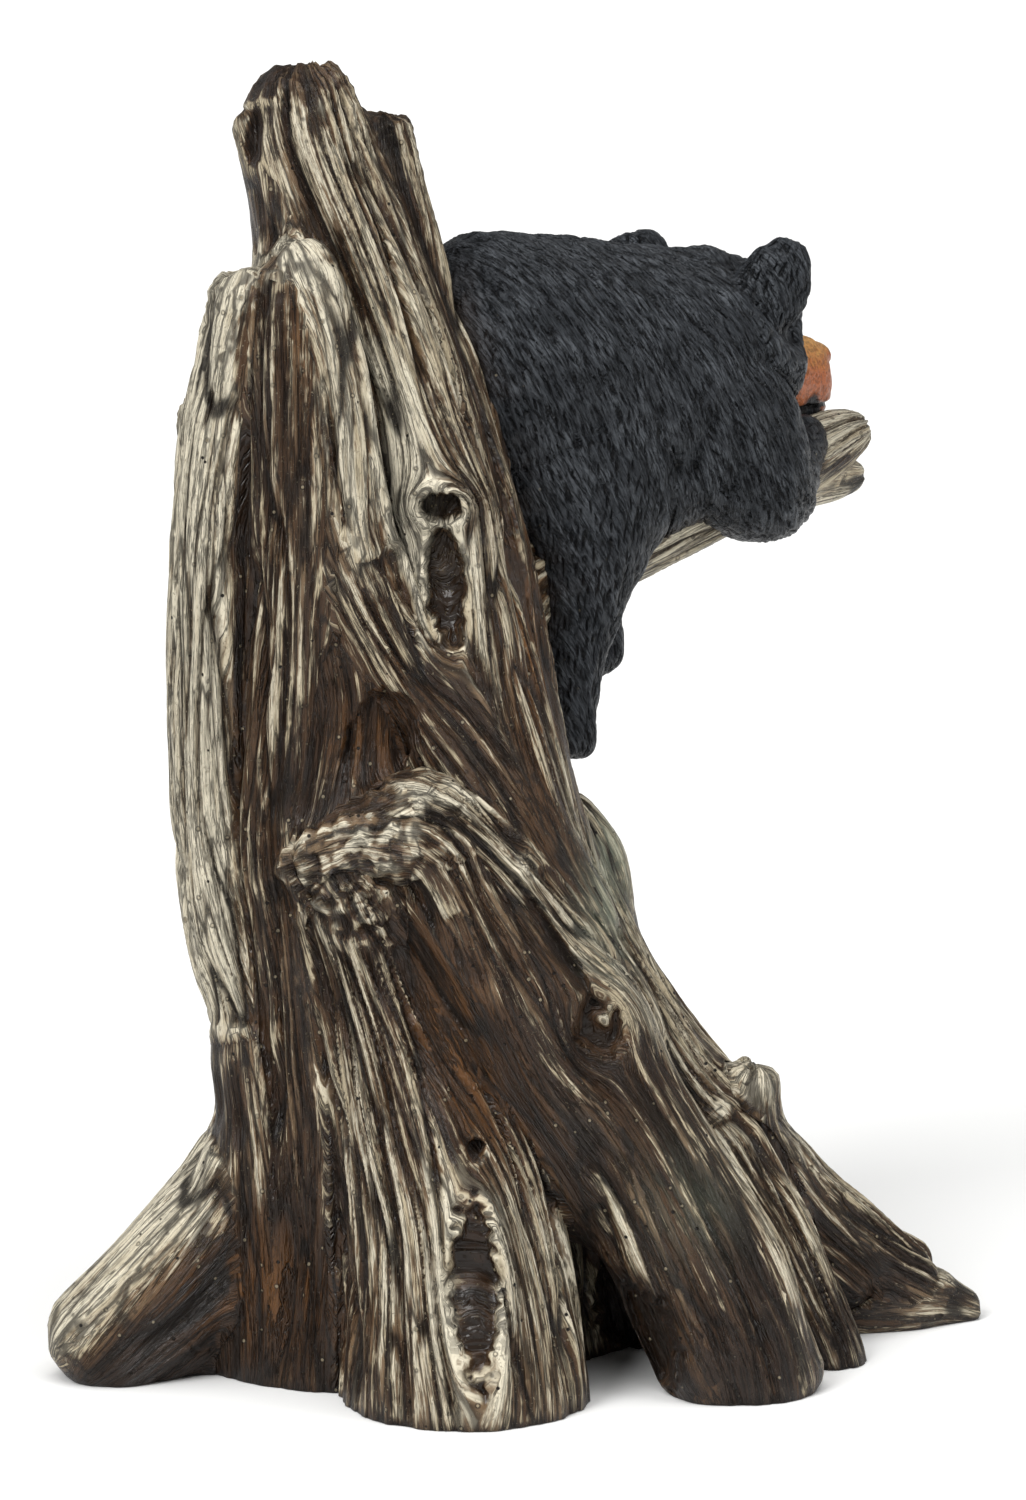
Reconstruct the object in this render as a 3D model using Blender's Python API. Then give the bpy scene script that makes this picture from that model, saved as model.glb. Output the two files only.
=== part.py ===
"""A bear figurine: a black bear asleep along the branch of a weathered, broken stump.

The real piece is one painted resin casting, so it is modelled as one closed solid that stands on
the flat undersides of its roots. The wood is a bundle of tapering strands that run from the broken
tops down into the roots, the bear is a set of rounded limbs, and all of it is fused and carved.
"""

import math

import bmesh
import bpy
import numpy as np

# Driving size, in metres: from the table to the tip of the broken spire.
HEIGHT = 0.300

# The free forms are given on a figure 300 units tall, so their places are shares of the height.
UNITS_TALL = 300.0
UNIT = HEIGHT / UNITS_TALL

# How finely the forms are fused, and how many faces the finished solid keeps, in units and faces.
FUSE_SIZE = 1.8
RING_SIDES = 16
PATH_STEP = 4.0
KEPT_FACES = 9700

# How the domed end of a strand is stepped, in degrees round, and how flat the dome is.
DOME_STEPS = (40, 70)
DOME_SHARE = 0.5

# Carving of the wood: how wide, how long and how deep the weathered grooves run, in units.
GROOVE_SPACING = 10.0
GROOVE_LENGTH = 70.0
GROOVE_DEPTH = 1.7
GROOVE_SHARPNESS = 0.22
FULL_DEPTH_RADIUS = 11.0

# Carving of the coat: width, length and height of the locks of fur, in units.
LOCK_WIDTH = 5.0
LOCK_LENGTH = 12.0
LOCK_HEIGHT = 0.7

# How far the marks of one strand lie from those of the next, so that no two are alike.
STRAND_SHIFT = 7.3

# How widely the marks of strands that meet are blended, and those of the wood and the coat.
BLEND_WIDTH = 1.2
BORDER_WIDTH = 0.6

# The lip round a hollow: its height as a share of the depth, where it stands and how wide it is,
# both in shares of the hollow's own size.
LIP_SHARE = 0.25
LIP_PLACE = 1.5
LIP_WIDTH = 0.35

# Parts of the bear that keep more faces, how far that reaches in units, and how much it counts.
FINE_PARTS = ("head", "muzzle", "nose", "near_ear", "far_ear")
FINE_REACH = 2.5
FINE_SHARE = 0.00002

# Finishes: name, colour and roughness.
FINISHES = (
    ("weathered_wood", (0.30, 0.22, 0.14), 0.5),
    ("black_coat", (0.018, 0.019, 0.022), 0.6),
    ("tan_muzzle", (0.42, 0.17, 0.07), 0.5),
)

# Strands of wood. Each station is x, y, z and radius, read from the broken top down to the root;
# a fifth number is the radius front to back, where the strand is flattened.
WOOD = {
    "core": [
        (-40, 1, 262, 11, 9), (-41, 5, 235, 20, 18), (-38, 6, 195, 29, 24), (-33, 6, 150, 33, 27),
        (-28, 6, 100, 36, 29), (-25, 4, 50, 42, 36), (-22, 2, -8, 48, 42),
    ],
    "main_spire": [
        (-48, 0, 295, 11), (-43.5, -3, 276, 13), (-29, -9, 241, 12), (-16, -13, 200, 12.5),
        (-6, -16, 154, 13), (6, -14, 111, 14), (29, -10, 70, 14), (59, 0, 33, 12), (79, 7, 14, 9),
    ],
    "spire_left_side": [(-54, -2, 289, 6), (-51, -9, 256, 8), (-40, -17, 214, 9), (-37, -19, 189, 9)],
    "spire_stub": [(-60.5, -4, 287, 3.6), (-58, -4, 276, 4.5), (-53, -4, 258, 6)],
    "second_spire": [
        (-29.5, 5, 286, 6.5), (-24, 3, 254, 8.5), (-14, 0, 224, 7.5), (-3, -2, 186, 7),
        (4, -2, 147, 7.5), (9, 2, 112, 9),
    ],
    "left_column": [
        (-61, -14, 249, 8), (-69, -18, 205, 8.2), (-71, -18, 150, 8), (-67, -19, 105, 9),
        (-54, -23, 62, 11), (-66, -26, 40, 12.5), (-82, -30, 22, 12.5), (-99, -32, 8, 10.5),
    ],
    "far_left_column": [
        (-72, 2, 221, 6.5), (-69, 4, 185, 10), (-66, 4, 120, 11), (-53, 2, 68, 12),
        (-64, 14, 34, 14), (-84, 26, 7, 11),
    ],
    "left_valley": [
        (-57, -16, 251, 7.5), (-59, -17, 232, 7), (-60, -14, 214, 6), (-61, -13, 150, 6), (-58, -16, 105, 8),
    ],
    "left_side_valley": [(-67, -7, 216, 6), (-70, -7, 150, 7), (-65, -8, 96, 8)],
    "middle_column": [
        (-49, -18, 252, 7), (-49, -20, 238, 9), (-48, -22, 189, 11), (-51, -22, 129, 10.5),
        (-44, -30, 81, 12), (-42, -35, 40, 12), (-45, -35, -8, 12),
    ],
    "thin_ridge": [(-48, -20, 257, 4.5), (-40, -25, 239, 4.5), (-35, -27, 208, 4), (-32, -27, 186, 3.5)],
    "sweeping_ridge": [(-38, -23, 196, 7), (-30, -25, 176, 9), (-10, -25, 141, 9.5), (9, -20, 105, 10)],
    "upper_rim": [
        (-24, -35, 134, 5), (-17, -37, 134.5, 5.5), (2, -33, 113, 6.5), (19, -29, 86, 10),
        (29, -31, 66, 9), (53, -38, 25, 11.5), (63, -43, 2, 10),
    ],
    "rim_crest": [(-42, -33, 125, 4.5), (-33, -36, 130, 5), (-23, -37, 134.5, 5)],
    "lower_rim": [
        (-24, -40, 125.5, 5.5), (-17, -41, 124, 6), (-2, -41, 92, 7), (21, -43, 52, 8.5), (43, -49, 6, 9),
    ],
    "lower_crest": [(-44, -35, 122, 5), (-33, -40, 126.5, 5), (-23, -41, 125.5, 5.5)],
    "buttress_floor": [
        (-24, -32, 116, 9), (-8, -35, 92, 12), (5, -37, 68, 13), (15, -37, 50, 12), (21, -34, 38, 9),
    ],
    "buttress": [
        (-19, -31, 124, 9), (8, -33, 85, 12), (32, -37, 48, 14), (48, -43, 16, 15), (54, -46, -6, 13),
    ],
    "sawn_knot": [(-36, -35, 116, 7.5), (-33, -39, 112, 8), (-30, -34, 104, 8)],
    "front_root": [
        (-37, -32, 108, 10), (-25, -40, 74, 17), (-15, -48, 40, 24), (-11, -52, 9, 28), (-11, -52, -14, 29),
    ],
    "inner_left_root": [(-58, -22, 75, 11), (-54, -26, 45, 14), (-52, -24, -8, 17)],
    "left_root_foot": [(-58, -22, 40, 14), (-77, -29, 20, 15), (-94, -34, 4, 11)],
    "right_side": [
        (-11, 8, 222, 7), (-10, 12, 200, 10), (-5, 13, 150, 12), (3, 12, 104, 13), (22, 10, 60, 20),
        (40, 6, -6, 22),
    ],
    "right_root": [
        (7, 6, 117, 9), (24, 8, 83, 11), (53, 4, 45, 11.5), (83, 11, 20, 10), (95, 15, 12, 8),
    ],
    "right_root_tongue": [(81, 12, 6, 8), (97, 16, 5, 7), (110, 20, 1.5, 4.5)],
    "right_root_knob": [(61, -2, 42, 6), (56.5, -6, 54, 5.5), (56, -7, 64.5, 7)],
    "small_root": [(48, -14, 49, 10), (61, -16, 27, 10), (72, -19, 5, 9.5), (75, -20, -5, 9)],
    "burl": [(12, 14, 124, 6), (16, 16, 115, 9.5), (18, 16, 104, 10), (14, 12, 92, 11)],
    "back_left_column": [
        (-50, 20, 236, 9), (-51, 26, 200, 14), (-48, 29, 140, 16), (-44, 35, 80, 18),
        (-50, 52, 32, 17), (-62, 74, 2, 13),
    ],
    "back_right_column": [
        (-26, 18, 226, 11), (-20, 25, 180, 15), (-12, 29, 120, 16), (4, 42, 60, 18),
        (20, 60, 22, 15), (30, 72, -2, 12),
    ],
    "right_back_root": [(6, 16, 92, 13), (32, 28, 50, 16), (56, 41, 20, 14), (74, 49, -2, 11)],
    "branch": [
        (-22, 8, 166, 16), (2, 24, 178, 13), (28, 42, 186, 10.5), (45, 54, 192, 10), (62, 69, 199, 9.5),
        (81, 87, 205.5, 6.5),
    ],
    "branch_fork": [(60, 68, 195, 6), (72, 79, 195, 5.5), (82, 88, 196, 5)],
}

# Roots that lie along the table, and where under the trunk they all spring from.
LYING_ROOTS = (
    "left_column", "far_left_column", "right_root", "back_left_column", "back_right_column",
    "right_back_root",
)
TRUNK_FOOT = (-24, 3)

# What fills under such a root: share of the way out, height, and thickness as a share of its end.
FOOT_STEPS = ((0.3, 6, 1.5), (0.65, 6, 1.2), (0.97, 3, 0.8))

# Parts of the bear, in the same way: x, y, z, half width and half height.
BEAR = {
    "torso": [
        (-14, 19, 233, 22, 25), (2, 29, 230, 26, 29), (18, 40, 229, 26, 29), (32, 49, 227, 25, 28),
        (44, 57, 228, 21, 24),
    ],
    "belly": [(0, 26, 206, 16, 18), (22, 40, 204, 17, 18), (42, 52, 208, 15, 15)],
    "head": [(38, 49, 231, 16, 16), (47, 59, 231, 22, 21.5), (57, 71, 226, 18.5, 18), (64, 81, 221, 12, 12)],
    "near_brow": [(60, 77, 235, 3.5), (66, 69, 237, 4), (68, 62, 234, 3.5)],
    "far_brow": [(56, 79, 235, 3.5), (48, 82, 237, 4), (42, 81, 234, 3.5)],
    "muzzle": [(56, 72, 222, 13, 12), (65, 85, 219.5, 10.5, 10), (71, 94, 218, 8.5, 8.5)],
    "nose": [(72.5, 95.5, 222.5, 4.5, 4), (74.5, 98.5, 222, 4.5, 3.6)],
    "near_ear": [(60.5, 54, 240, 8.5, 6), (63.5, 52, 246, 9, 5.5), (66, 52, 252, 6.5, 4), (67.5, 52, 256, 2.8, 2.2)],
    "far_ear": [(33, 68, 242, 8, 6), (31.5, 71, 248, 8.5, 5.2), (31, 72, 254, 5.5, 3.6), (31, 72, 257.5, 2.5, 2)],
    "near_arm": [
        (42, 46, 219, 17, 17), (54, 46, 207, 14, 14.5), (61, 50, 195.5, 12, 12.5), (65, 64, 199, 9, 8.5),
        (68, 73, 206, 7, 6),
    ],
    "far_arm": [
        (24, 66, 219, 15, 16), (36, 78, 207, 13, 13.5), (50, 86, 196, 11, 11), (64, 86, 202, 9, 8),
        (70, 83, 209, 7, 6),
    ],
    "near_leg": [
        (13, 32, 222, 18, 20), (18, 26, 196, 16.5, 17), (16, 21, 173, 12, 12.5), (13, 17, 154, 8, 8.5),
        (12, 14, 140, 6.5, 7),
    ],
    "far_leg": [
        (2, 46, 218, 18, 20), (14, 56, 194, 14, 16), (22, 54, 174, 9, 11), (23.5, 48, 158, 6.5, 7),
    ],
}

# Hollows cut into the front of the wood: x, z, half width, half length, lean from upright in
# degrees and depth. Each has a raised lip, as a healed knot has.
HOLLOWS = {
    "upper_knot": (-17, 201, 3.6, 6, 12, 5),
    "upper_knot_slot": (-15, 186, 3.2, 15, 10, 4.5),
    "under_sweep": (-29, 150, 9, 10, -25, 6),
    "knot_hole": (19.5, 85, 4.6, 6.5, 25, 6),
    "beside_stub": (-10, 104, 4.5, 12, 25, 3.5),
    "front_root_knot": (-11, 33, 4.2, 19, 6, 3),
    "front_root_pit": (-8.5, 60, 3, 4, 0, 3),
    "root_arch": (29, 12, 9, 14, 10, 6),
}


def catmull_rom(stations, step):
    """Rows of numbers read from a smooth curve through the stations, about step apart."""
    rows = np.array([(*row, row[3])[:5] for row in stations], float)
    padded = np.vstack([2 * rows[0] - rows[1], rows, 2 * rows[-1] - rows[-2]])
    out = []
    for before, start, end, after in zip(padded, padded[1:], padded[2:], padded[3:]):
        count = max(2, round(float(np.linalg.norm((end - start)[:3])) / step))
        for t in np.arange(count) / count:
            linear = (end - before) * t
            square = (2 * before - 5 * start + 4 * end - after) * t**2
            cube = (3 * start - before - 3 * end + after) * t**3
            out.append(0.5 * (2 * start + linear + square + cube))
    out.append(rows[-1])
    return np.array(out)


def carried_frames(points):
    """(tangents, sides, ups) along a path, carried from one point to the next without twist."""
    tangents = np.gradient(points, axis=0)
    tangents /= np.linalg.norm(tangents, axis=1)[:, None]
    up = np.array([0.0, 0.0, 1.0]) if abs(tangents[0][2]) < 0.75 else np.array([0.0, 1.0, 0.0])
    sides, ups = [], []
    for tangent in tangents:
        up = up - tangent * (up @ tangent)
        up /= np.linalg.norm(up)
        ups.append(up)
        sides.append(np.cross(tangent, up))
    return tangents, np.array(sides), np.array(ups)


class Strand:
    """A tapering round form along a smooth path, which also measures places on its skin."""

    def __init__(self, stations):
        path = catmull_rom(stations, PATH_STEP)
        self.points, self.widths, self.heights = path[:, :3], path[:, 3], path[:, 4]
        self.tangents, self.sides, self.ups = carried_frames(self.points)
        steps = np.linalg.norm(np.diff(self.points, axis=0), axis=1)
        self.along = np.concatenate([[0.0], np.cumsum(steps)])

    def add_tube(self, mesh):
        """Adds the form, with domed ends, to a bmesh."""
        turns = 2 * math.pi * np.arange(RING_SIDES) / RING_SIDES
        last = len(self.points) - 1
        stops = [(0, lean, -1) for lean in reversed(DOME_STEPS)]
        stops += [(i, 0, 0) for i in range(last + 1)]
        stops += [(last, lean, 1) for lean in DOME_STEPS]
        rings = []
        for i, lean, way in stops:
            shrink, rise = math.cos(math.radians(lean)), math.sin(math.radians(lean))
            centre = self.points[i] + self.tangents[i] * way * rise * self.heights[i] * DOME_SHARE
            across = self.sides[i] * self.widths[i] * shrink
            upward = self.ups[i] * self.heights[i] * shrink
            ring = [centre + across * math.cos(a) + upward * math.sin(a) for a in turns]
            rings.append([mesh.verts.new(UNIT * corner) for corner in ring])
        for lower, upper in zip(rings, rings[1:]):
            for k in range(RING_SIDES):
                after = (k + 1) % RING_SIDES
                mesh.faces.new((lower[k], lower[after], upper[after], upper[k]))
        mesh.faces.new(rings[0][::-1])
        mesh.faces.new(rings[-1])

    def measure(self, places):
        """(height above the skin, distance along, angle around) for each place."""
        nearest = np.full(len(places), np.inf)
        along, angle = np.zeros(len(places)), np.zeros(len(places))
        for i in range(len(self.points)):
            offset = places - self.points[i]
            side, up = offset @ self.sides[i], offset @ self.ups[i]
            run = offset @ self.tangents[i]
            reach = np.sqrt((side / self.widths[i]) ** 2 + (up / self.heights[i]) ** 2)
            size = (self.widths[i] + self.heights[i]) / 2
            gap = np.hypot((reach - 1) * size, np.maximum(np.abs(run) - PATH_STEP / 2, 0))
            gap = np.where(reach < 1, (reach - 1) * size + np.maximum(np.abs(run) - PATH_STEP, 0), gap)
            closer = gap < nearest
            nearest = np.where(closer, gap, nearest)
            along = np.where(closer, self.along[i] + run, along)
            angle = np.where(closer, np.arctan2(up, side), angle)
        return nearest, along, angle


def smooth_noise(places):
    """Gradient noise between about -1 and 1, the same on every run, for rows of x, y, z."""
    cell = np.floor(places).astype(np.int64)
    inside = places - cell
    fade = inside**3 * (inside * (inside * 6 - 15) + 10)
    total = np.zeros(len(places))
    for corner in np.ndindex(2, 2, 2):
        at = cell + corner
        mixed = (at[:, 0] * 73856093) ^ (at[:, 1] * 19349663) ^ (at[:, 2] * 83492791)
        mixed = (mixed ^ (mixed >> 13)) * 1274126177 & 0x7FFFFFFF
        tilt = np.stack([mixed & 1023, (mixed >> 10) & 1023, (mixed >> 20) & 1023], 1) / 511.5 - 1
        weight = np.prod(np.where(np.array(corner) == 1, fade, 1 - fade), axis=1)
        total += weight * np.sum(tilt * (inside - corner), axis=1)
    return total * 1.6


def on_strand(along, angle, size, width, length, shift):
    """Places in noise space for marks of a width and a length that follow a strand."""
    return np.stack(
        [along / length + shift, np.cos(angle) * size / width, np.sin(angle) * size / width + shift], 1
    )


def lying_part(stations):
    """Stations of the part of a root that fills down to the table, from the trunk to its end."""
    end_x, end_y, _, radius = stations[-1][:4]
    out = []
    for share, height, thickness in FOOT_STEPS:
        x = TRUNK_FOOT[0] + (end_x - TRUNK_FOOT[0]) * share
        y = TRUNK_FOOT[1] + (end_y - TRUNK_FOOT[1]) * share
        out.append((x, y, height, radius * thickness))
    return out


def tubes_object(name, strands):
    """One object that holds every form, still overlapping."""
    mesh = bmesh.new()
    for strand in strands:
        strand.add_tube(mesh)
    bmesh.ops.recalc_face_normals(mesh, faces=mesh.faces)
    data = bpy.data.meshes.new(name)
    mesh.to_mesh(data)
    mesh.free()
    obj = bpy.data.objects.new(name, data)
    bpy.context.scene.collection.objects.link(obj)
    return obj


def settle(obj):
    """Applies every modifier of an object."""
    bpy.context.view_layer.update()
    graph = bpy.context.evaluated_depsgraph_get()
    made = bpy.data.meshes.new_from_object(obj.evaluated_get(graph))
    obj.modifiers.clear()
    obj.data = made


def fuse(obj):
    """Fuses overlapping forms into one skin and softens where they meet."""
    remesh = obj.modifiers.new("fuse", "REMESH")
    remesh.mode = "VOXEL"
    remesh.voxel_size = FUSE_SIZE * UNIT
    smooth = obj.modifiers.new("soften", "SMOOTH")
    smooth.factor = 0.5
    smooth.iterations = 3
    settle(obj)


def skin_of(obj):
    """(places, normals) of an object's vertices, places in units."""
    count = len(obj.data.vertices)
    places, normals = np.empty(count * 3, np.float32), np.empty(count * 3, np.float32)
    obj.data.vertices.foreach_get("co", places)
    obj.data.vertices.foreach_get("normal", normals)
    return places.reshape(-1, 3).astype(float) / UNIT, normals.reshape(-1, 3).astype(float)


def shared_relief(places, strands, carve):
    """(relief, smallest height above any skin): carve's marks, blended where strands meet."""
    total, weights = np.zeros(len(places)), np.zeros(len(places))
    lowest = np.full(len(places), np.inf)
    for number, strand in enumerate(strands):
        gap, along, angle = strand.measure(places)
        lowest = np.minimum(lowest, gap)
        weight = np.exp(-np.clip(gap / BLEND_WIDTH, -5, 25))
        total += weight * carve(strand, along, angle, number)
        weights += weight
    return total / weights, lowest


def groove_marks(strand, along, angle, number):
    """Long weathered grooves that follow a strand of wood."""
    size = float(np.mean(strand.widths))
    spots = on_strand(along, angle, size, GROOVE_SPACING, GROOVE_LENGTH, number * STRAND_SHIFT)
    depth = GROOVE_DEPTH * min(1.0, size / FULL_DEPTH_RADIUS)
    return -depth * np.exp(-((smooth_noise(spots) / GROOVE_SHARPNESS) ** 2))


def lock_marks(strand, along, angle, number):
    """Locks of fur that hang around the body."""
    size = float(np.mean(strand.widths))
    spots = on_strand(along, angle, size, LOCK_LENGTH, LOCK_WIDTH, number * STRAND_SHIFT)
    return LOCK_HEIGHT * smooth_noise(spots)


def hollow_marks(places, normals):
    """How far each place of the wood's front is pushed in, or lifted where a hollow has its lip."""
    push = np.zeros(len(places))
    facing = np.clip((-normals[:, 1] - 0.1) / 0.4, 0, 1) * (places[:, 1] < 0)
    for x, z, width, length, lean, depth in HOLLOWS.values():
        turn = math.radians(lean)
        right, up = places[:, 0] - x, places[:, 2] - z
        across = (right * math.cos(turn) + up * math.sin(turn)) / width
        down = (up * math.cos(turn) - right * math.sin(turn)) / length
        away = np.hypot(across, down)
        lip = np.exp(-(((away - LIP_PLACE) / LIP_WIDTH) ** 2))
        push += facing * depth * (np.exp(-(away**4)) - LIP_SHARE * lip)
    return push


def carve(figure, wood, bear):
    """Cuts grooves and hollows into the wood and locks into the coat. Returns where the bear is."""
    places, normals = skin_of(figure)
    grooves, wood_gap = shared_relief(places, wood, groove_marks)
    locks, bear_gap = shared_relief(places, bear, lock_marks)
    is_bear = 1 / (1 + np.exp((bear_gap - wood_gap) / BORDER_WIDTH))
    places += normals * (grooves * (1 - is_bear) + locks * is_bear)[:, None]
    places[:, 1] += hollow_marks(places, normals) * (1 - is_bear)
    figure.data.vertices.foreach_set("co", (places * UNIT).astype(np.float32).ravel())
    figure.data.update()


def thin_out(figure, bear):
    """Cuts the number of faces, and keeps them closer together on the bear's head."""
    places, _ = skin_of(figure)
    head = np.min([bear[name].measure(places)[0] for name in FINE_PARTS], axis=0)
    plain = figure.vertex_groups.new(name="plain")
    plain.add(range(len(places)), 1.0, "REPLACE")
    plain.add(np.flatnonzero(head < FINE_REACH).tolist(), 0.5, "REPLACE")
    fewer = figure.modifiers.new("fewer_faces", "DECIMATE")
    fewer.ratio = KEPT_FACES / (2 * len(figure.data.polygons))
    fewer.vertex_group = plain.name
    fewer.vertex_group_factor = FINE_SHARE
    settle(figure)
    figure.vertex_groups.clear()


def cut_flat(figure):
    """Cuts the roots off level, so that the piece stands on the ends of its roots."""
    block = bmesh.new()
    bmesh.ops.create_cube(block, size=2 * HEIGHT)
    data = bpy.data.meshes.new("below_table")
    block.to_mesh(data)
    block.free()
    below = bpy.data.objects.new("below_table", data)
    below.location.z = -HEIGHT
    below.hide_render = True
    below.display_type = "WIRE"
    bpy.context.scene.collection.objects.link(below)
    level = figure.modifiers.new("cut_level", "BOOLEAN")
    level.operation = "DIFFERENCE"
    level.solver = "EXACT"
    level.object = below
    settle(figure)
    bpy.data.objects.remove(below)


def keep_largest_body(figure):
    """Deletes crumbs that the cut leaves loose, so that one body is left."""
    mesh = bmesh.new()
    mesh.from_mesh(figure.data)
    waiting, bodies = set(mesh.verts), []
    while waiting:
        body, edge = set(), [waiting.pop()]
        while edge:
            vertex = edge.pop()
            body.add(vertex)
            for link in vertex.link_edges:
                other = link.other_vert(vertex)
                if other in waiting:
                    waiting.remove(other)
                    edge.append(other)
        bodies.append(body)
    bodies.sort(key=len)
    for body in bodies[:-1]:
        bmesh.ops.delete(mesh, geom=list(body), context="VERTS")
    mesh.to_mesh(figure.data)
    mesh.free()


def centre_on_table(figure):
    """Puts the middle of the piece's box over the origin, with its feet on the table."""
    corners = np.array([vertex.co for vertex in figure.data.vertices])
    low, high = corners.min(axis=0), corners.max(axis=0)
    middle = (low + high) / 2
    for vertex in figure.data.vertices:
        vertex.co.x -= middle[0]
        vertex.co.y -= middle[1]
        vertex.co.z -= low[2]


def paint(figure, wood, bear):
    """Gives the coat, the muzzle and the wood their own materials, face by face."""
    for name, colour, roughness in FINISHES:
        material = bpy.data.materials.new(name)
        material.use_nodes = True
        shader = material.node_tree.nodes["Principled BSDF"]
        shader.inputs["Base Color"].default_value = (*colour, 1)
        shader.inputs["Roughness"].default_value = roughness
        shader.inputs["Metallic"].default_value = 0
        figure.data.materials.append(material)
    middles = np.array([face.center for face in figure.data.polygons], float) / UNIT
    wood_gap = np.min([strand.measure(middles)[0] for strand in wood.values()], axis=0)
    gaps = {name: strand.measure(middles)[0] for name, strand in bear.items()}
    bear_gap = np.min(list(gaps.values()), axis=0)
    on_muzzle = gaps["muzzle"] < np.min([gaps[name] for name in ("head", "near_arm", "far_arm")], axis=0)
    slots = np.where(bear_gap < wood_gap, np.where(on_muzzle, 2, 1), 0)
    figure.data.polygons.foreach_set("material_index", slots.astype(np.int32))


def main():
    for obj in list(bpy.data.objects):
        bpy.data.objects.remove(obj)
    wood = {name: Strand(stations) for name, stations in WOOD.items()}
    wood |= {name + "_foot": Strand(lying_part(WOOD[name])) for name in LYING_ROOTS}
    bear = {name: Strand(stations) for name, stations in BEAR.items()}
    figure = tubes_object("bear_on_stump", [*wood.values(), *bear.values()])
    fuse(figure)
    carve(figure, list(wood.values()), list(bear.values()))
    thin_out(figure, bear)
    cut_flat(figure)
    keep_largest_body(figure)
    paint(figure, wood, bear)
    centre_on_table(figure)


main()
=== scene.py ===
# %% [markdown]
# # A black bear asleep on a weathered stump
# The real thing is one resin casting, about 30 cm tall, that a painter finished by hand. The wood
# was stained dark brown and then dry-brushed with cream, so that only the raised grain is pale.
# The bear was painted charcoal, and a satin varnish went over everything.
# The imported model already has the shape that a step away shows. This lesson rebuilds that shape
# with the fine grain and the fur that a hand would feel, and then paints it.

import math

import bmesh
import bpy
import numpy as np
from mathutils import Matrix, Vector
from mathutils.kdtree import KDTree


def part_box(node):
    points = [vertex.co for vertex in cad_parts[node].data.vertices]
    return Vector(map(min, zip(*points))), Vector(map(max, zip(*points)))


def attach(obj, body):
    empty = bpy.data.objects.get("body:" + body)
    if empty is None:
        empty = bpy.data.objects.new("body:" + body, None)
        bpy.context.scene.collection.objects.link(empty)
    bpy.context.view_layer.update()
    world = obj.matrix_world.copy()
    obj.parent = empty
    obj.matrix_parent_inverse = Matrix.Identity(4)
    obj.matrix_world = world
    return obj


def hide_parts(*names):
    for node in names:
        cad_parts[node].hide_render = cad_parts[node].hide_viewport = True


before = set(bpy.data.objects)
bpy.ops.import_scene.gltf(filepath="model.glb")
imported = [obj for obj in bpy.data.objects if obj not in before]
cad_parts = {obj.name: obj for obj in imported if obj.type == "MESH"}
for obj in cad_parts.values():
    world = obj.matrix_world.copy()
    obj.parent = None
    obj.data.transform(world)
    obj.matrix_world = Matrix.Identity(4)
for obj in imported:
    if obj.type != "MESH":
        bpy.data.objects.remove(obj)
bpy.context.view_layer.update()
low_corner, high_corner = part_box("bear_on_stump")

# %% [markdown]
# ## Units
# A modeller thinks of a figure like this in millimetres. All its forms are given on a figure
# 300.84 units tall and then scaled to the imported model's height, so one unit is one millimetre
# here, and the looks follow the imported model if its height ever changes.

# %% Units
UNITS_TALL = 300.84
UNIT = (high_corner.z - low_corner.z) / UNITS_TALL
print("one unit is", round(UNIT * 1000, 4), "mm")

# %% [markdown]
# ## The strands of the wood
# Old softwood rots along its fibres, so a weathered stump looks like a bundle of ropes that run
# down from the broken tops and spread into roots. It could be sculpted freely, but then the grain
# would have to be drawn by hand too. Here each rope is a tube along a smooth curve instead:
# whatever is measured along and around a tube later follows the wood as real grain does.
# Each station is x, y, z and radius; a fifth number is the radius from front to back.

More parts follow.
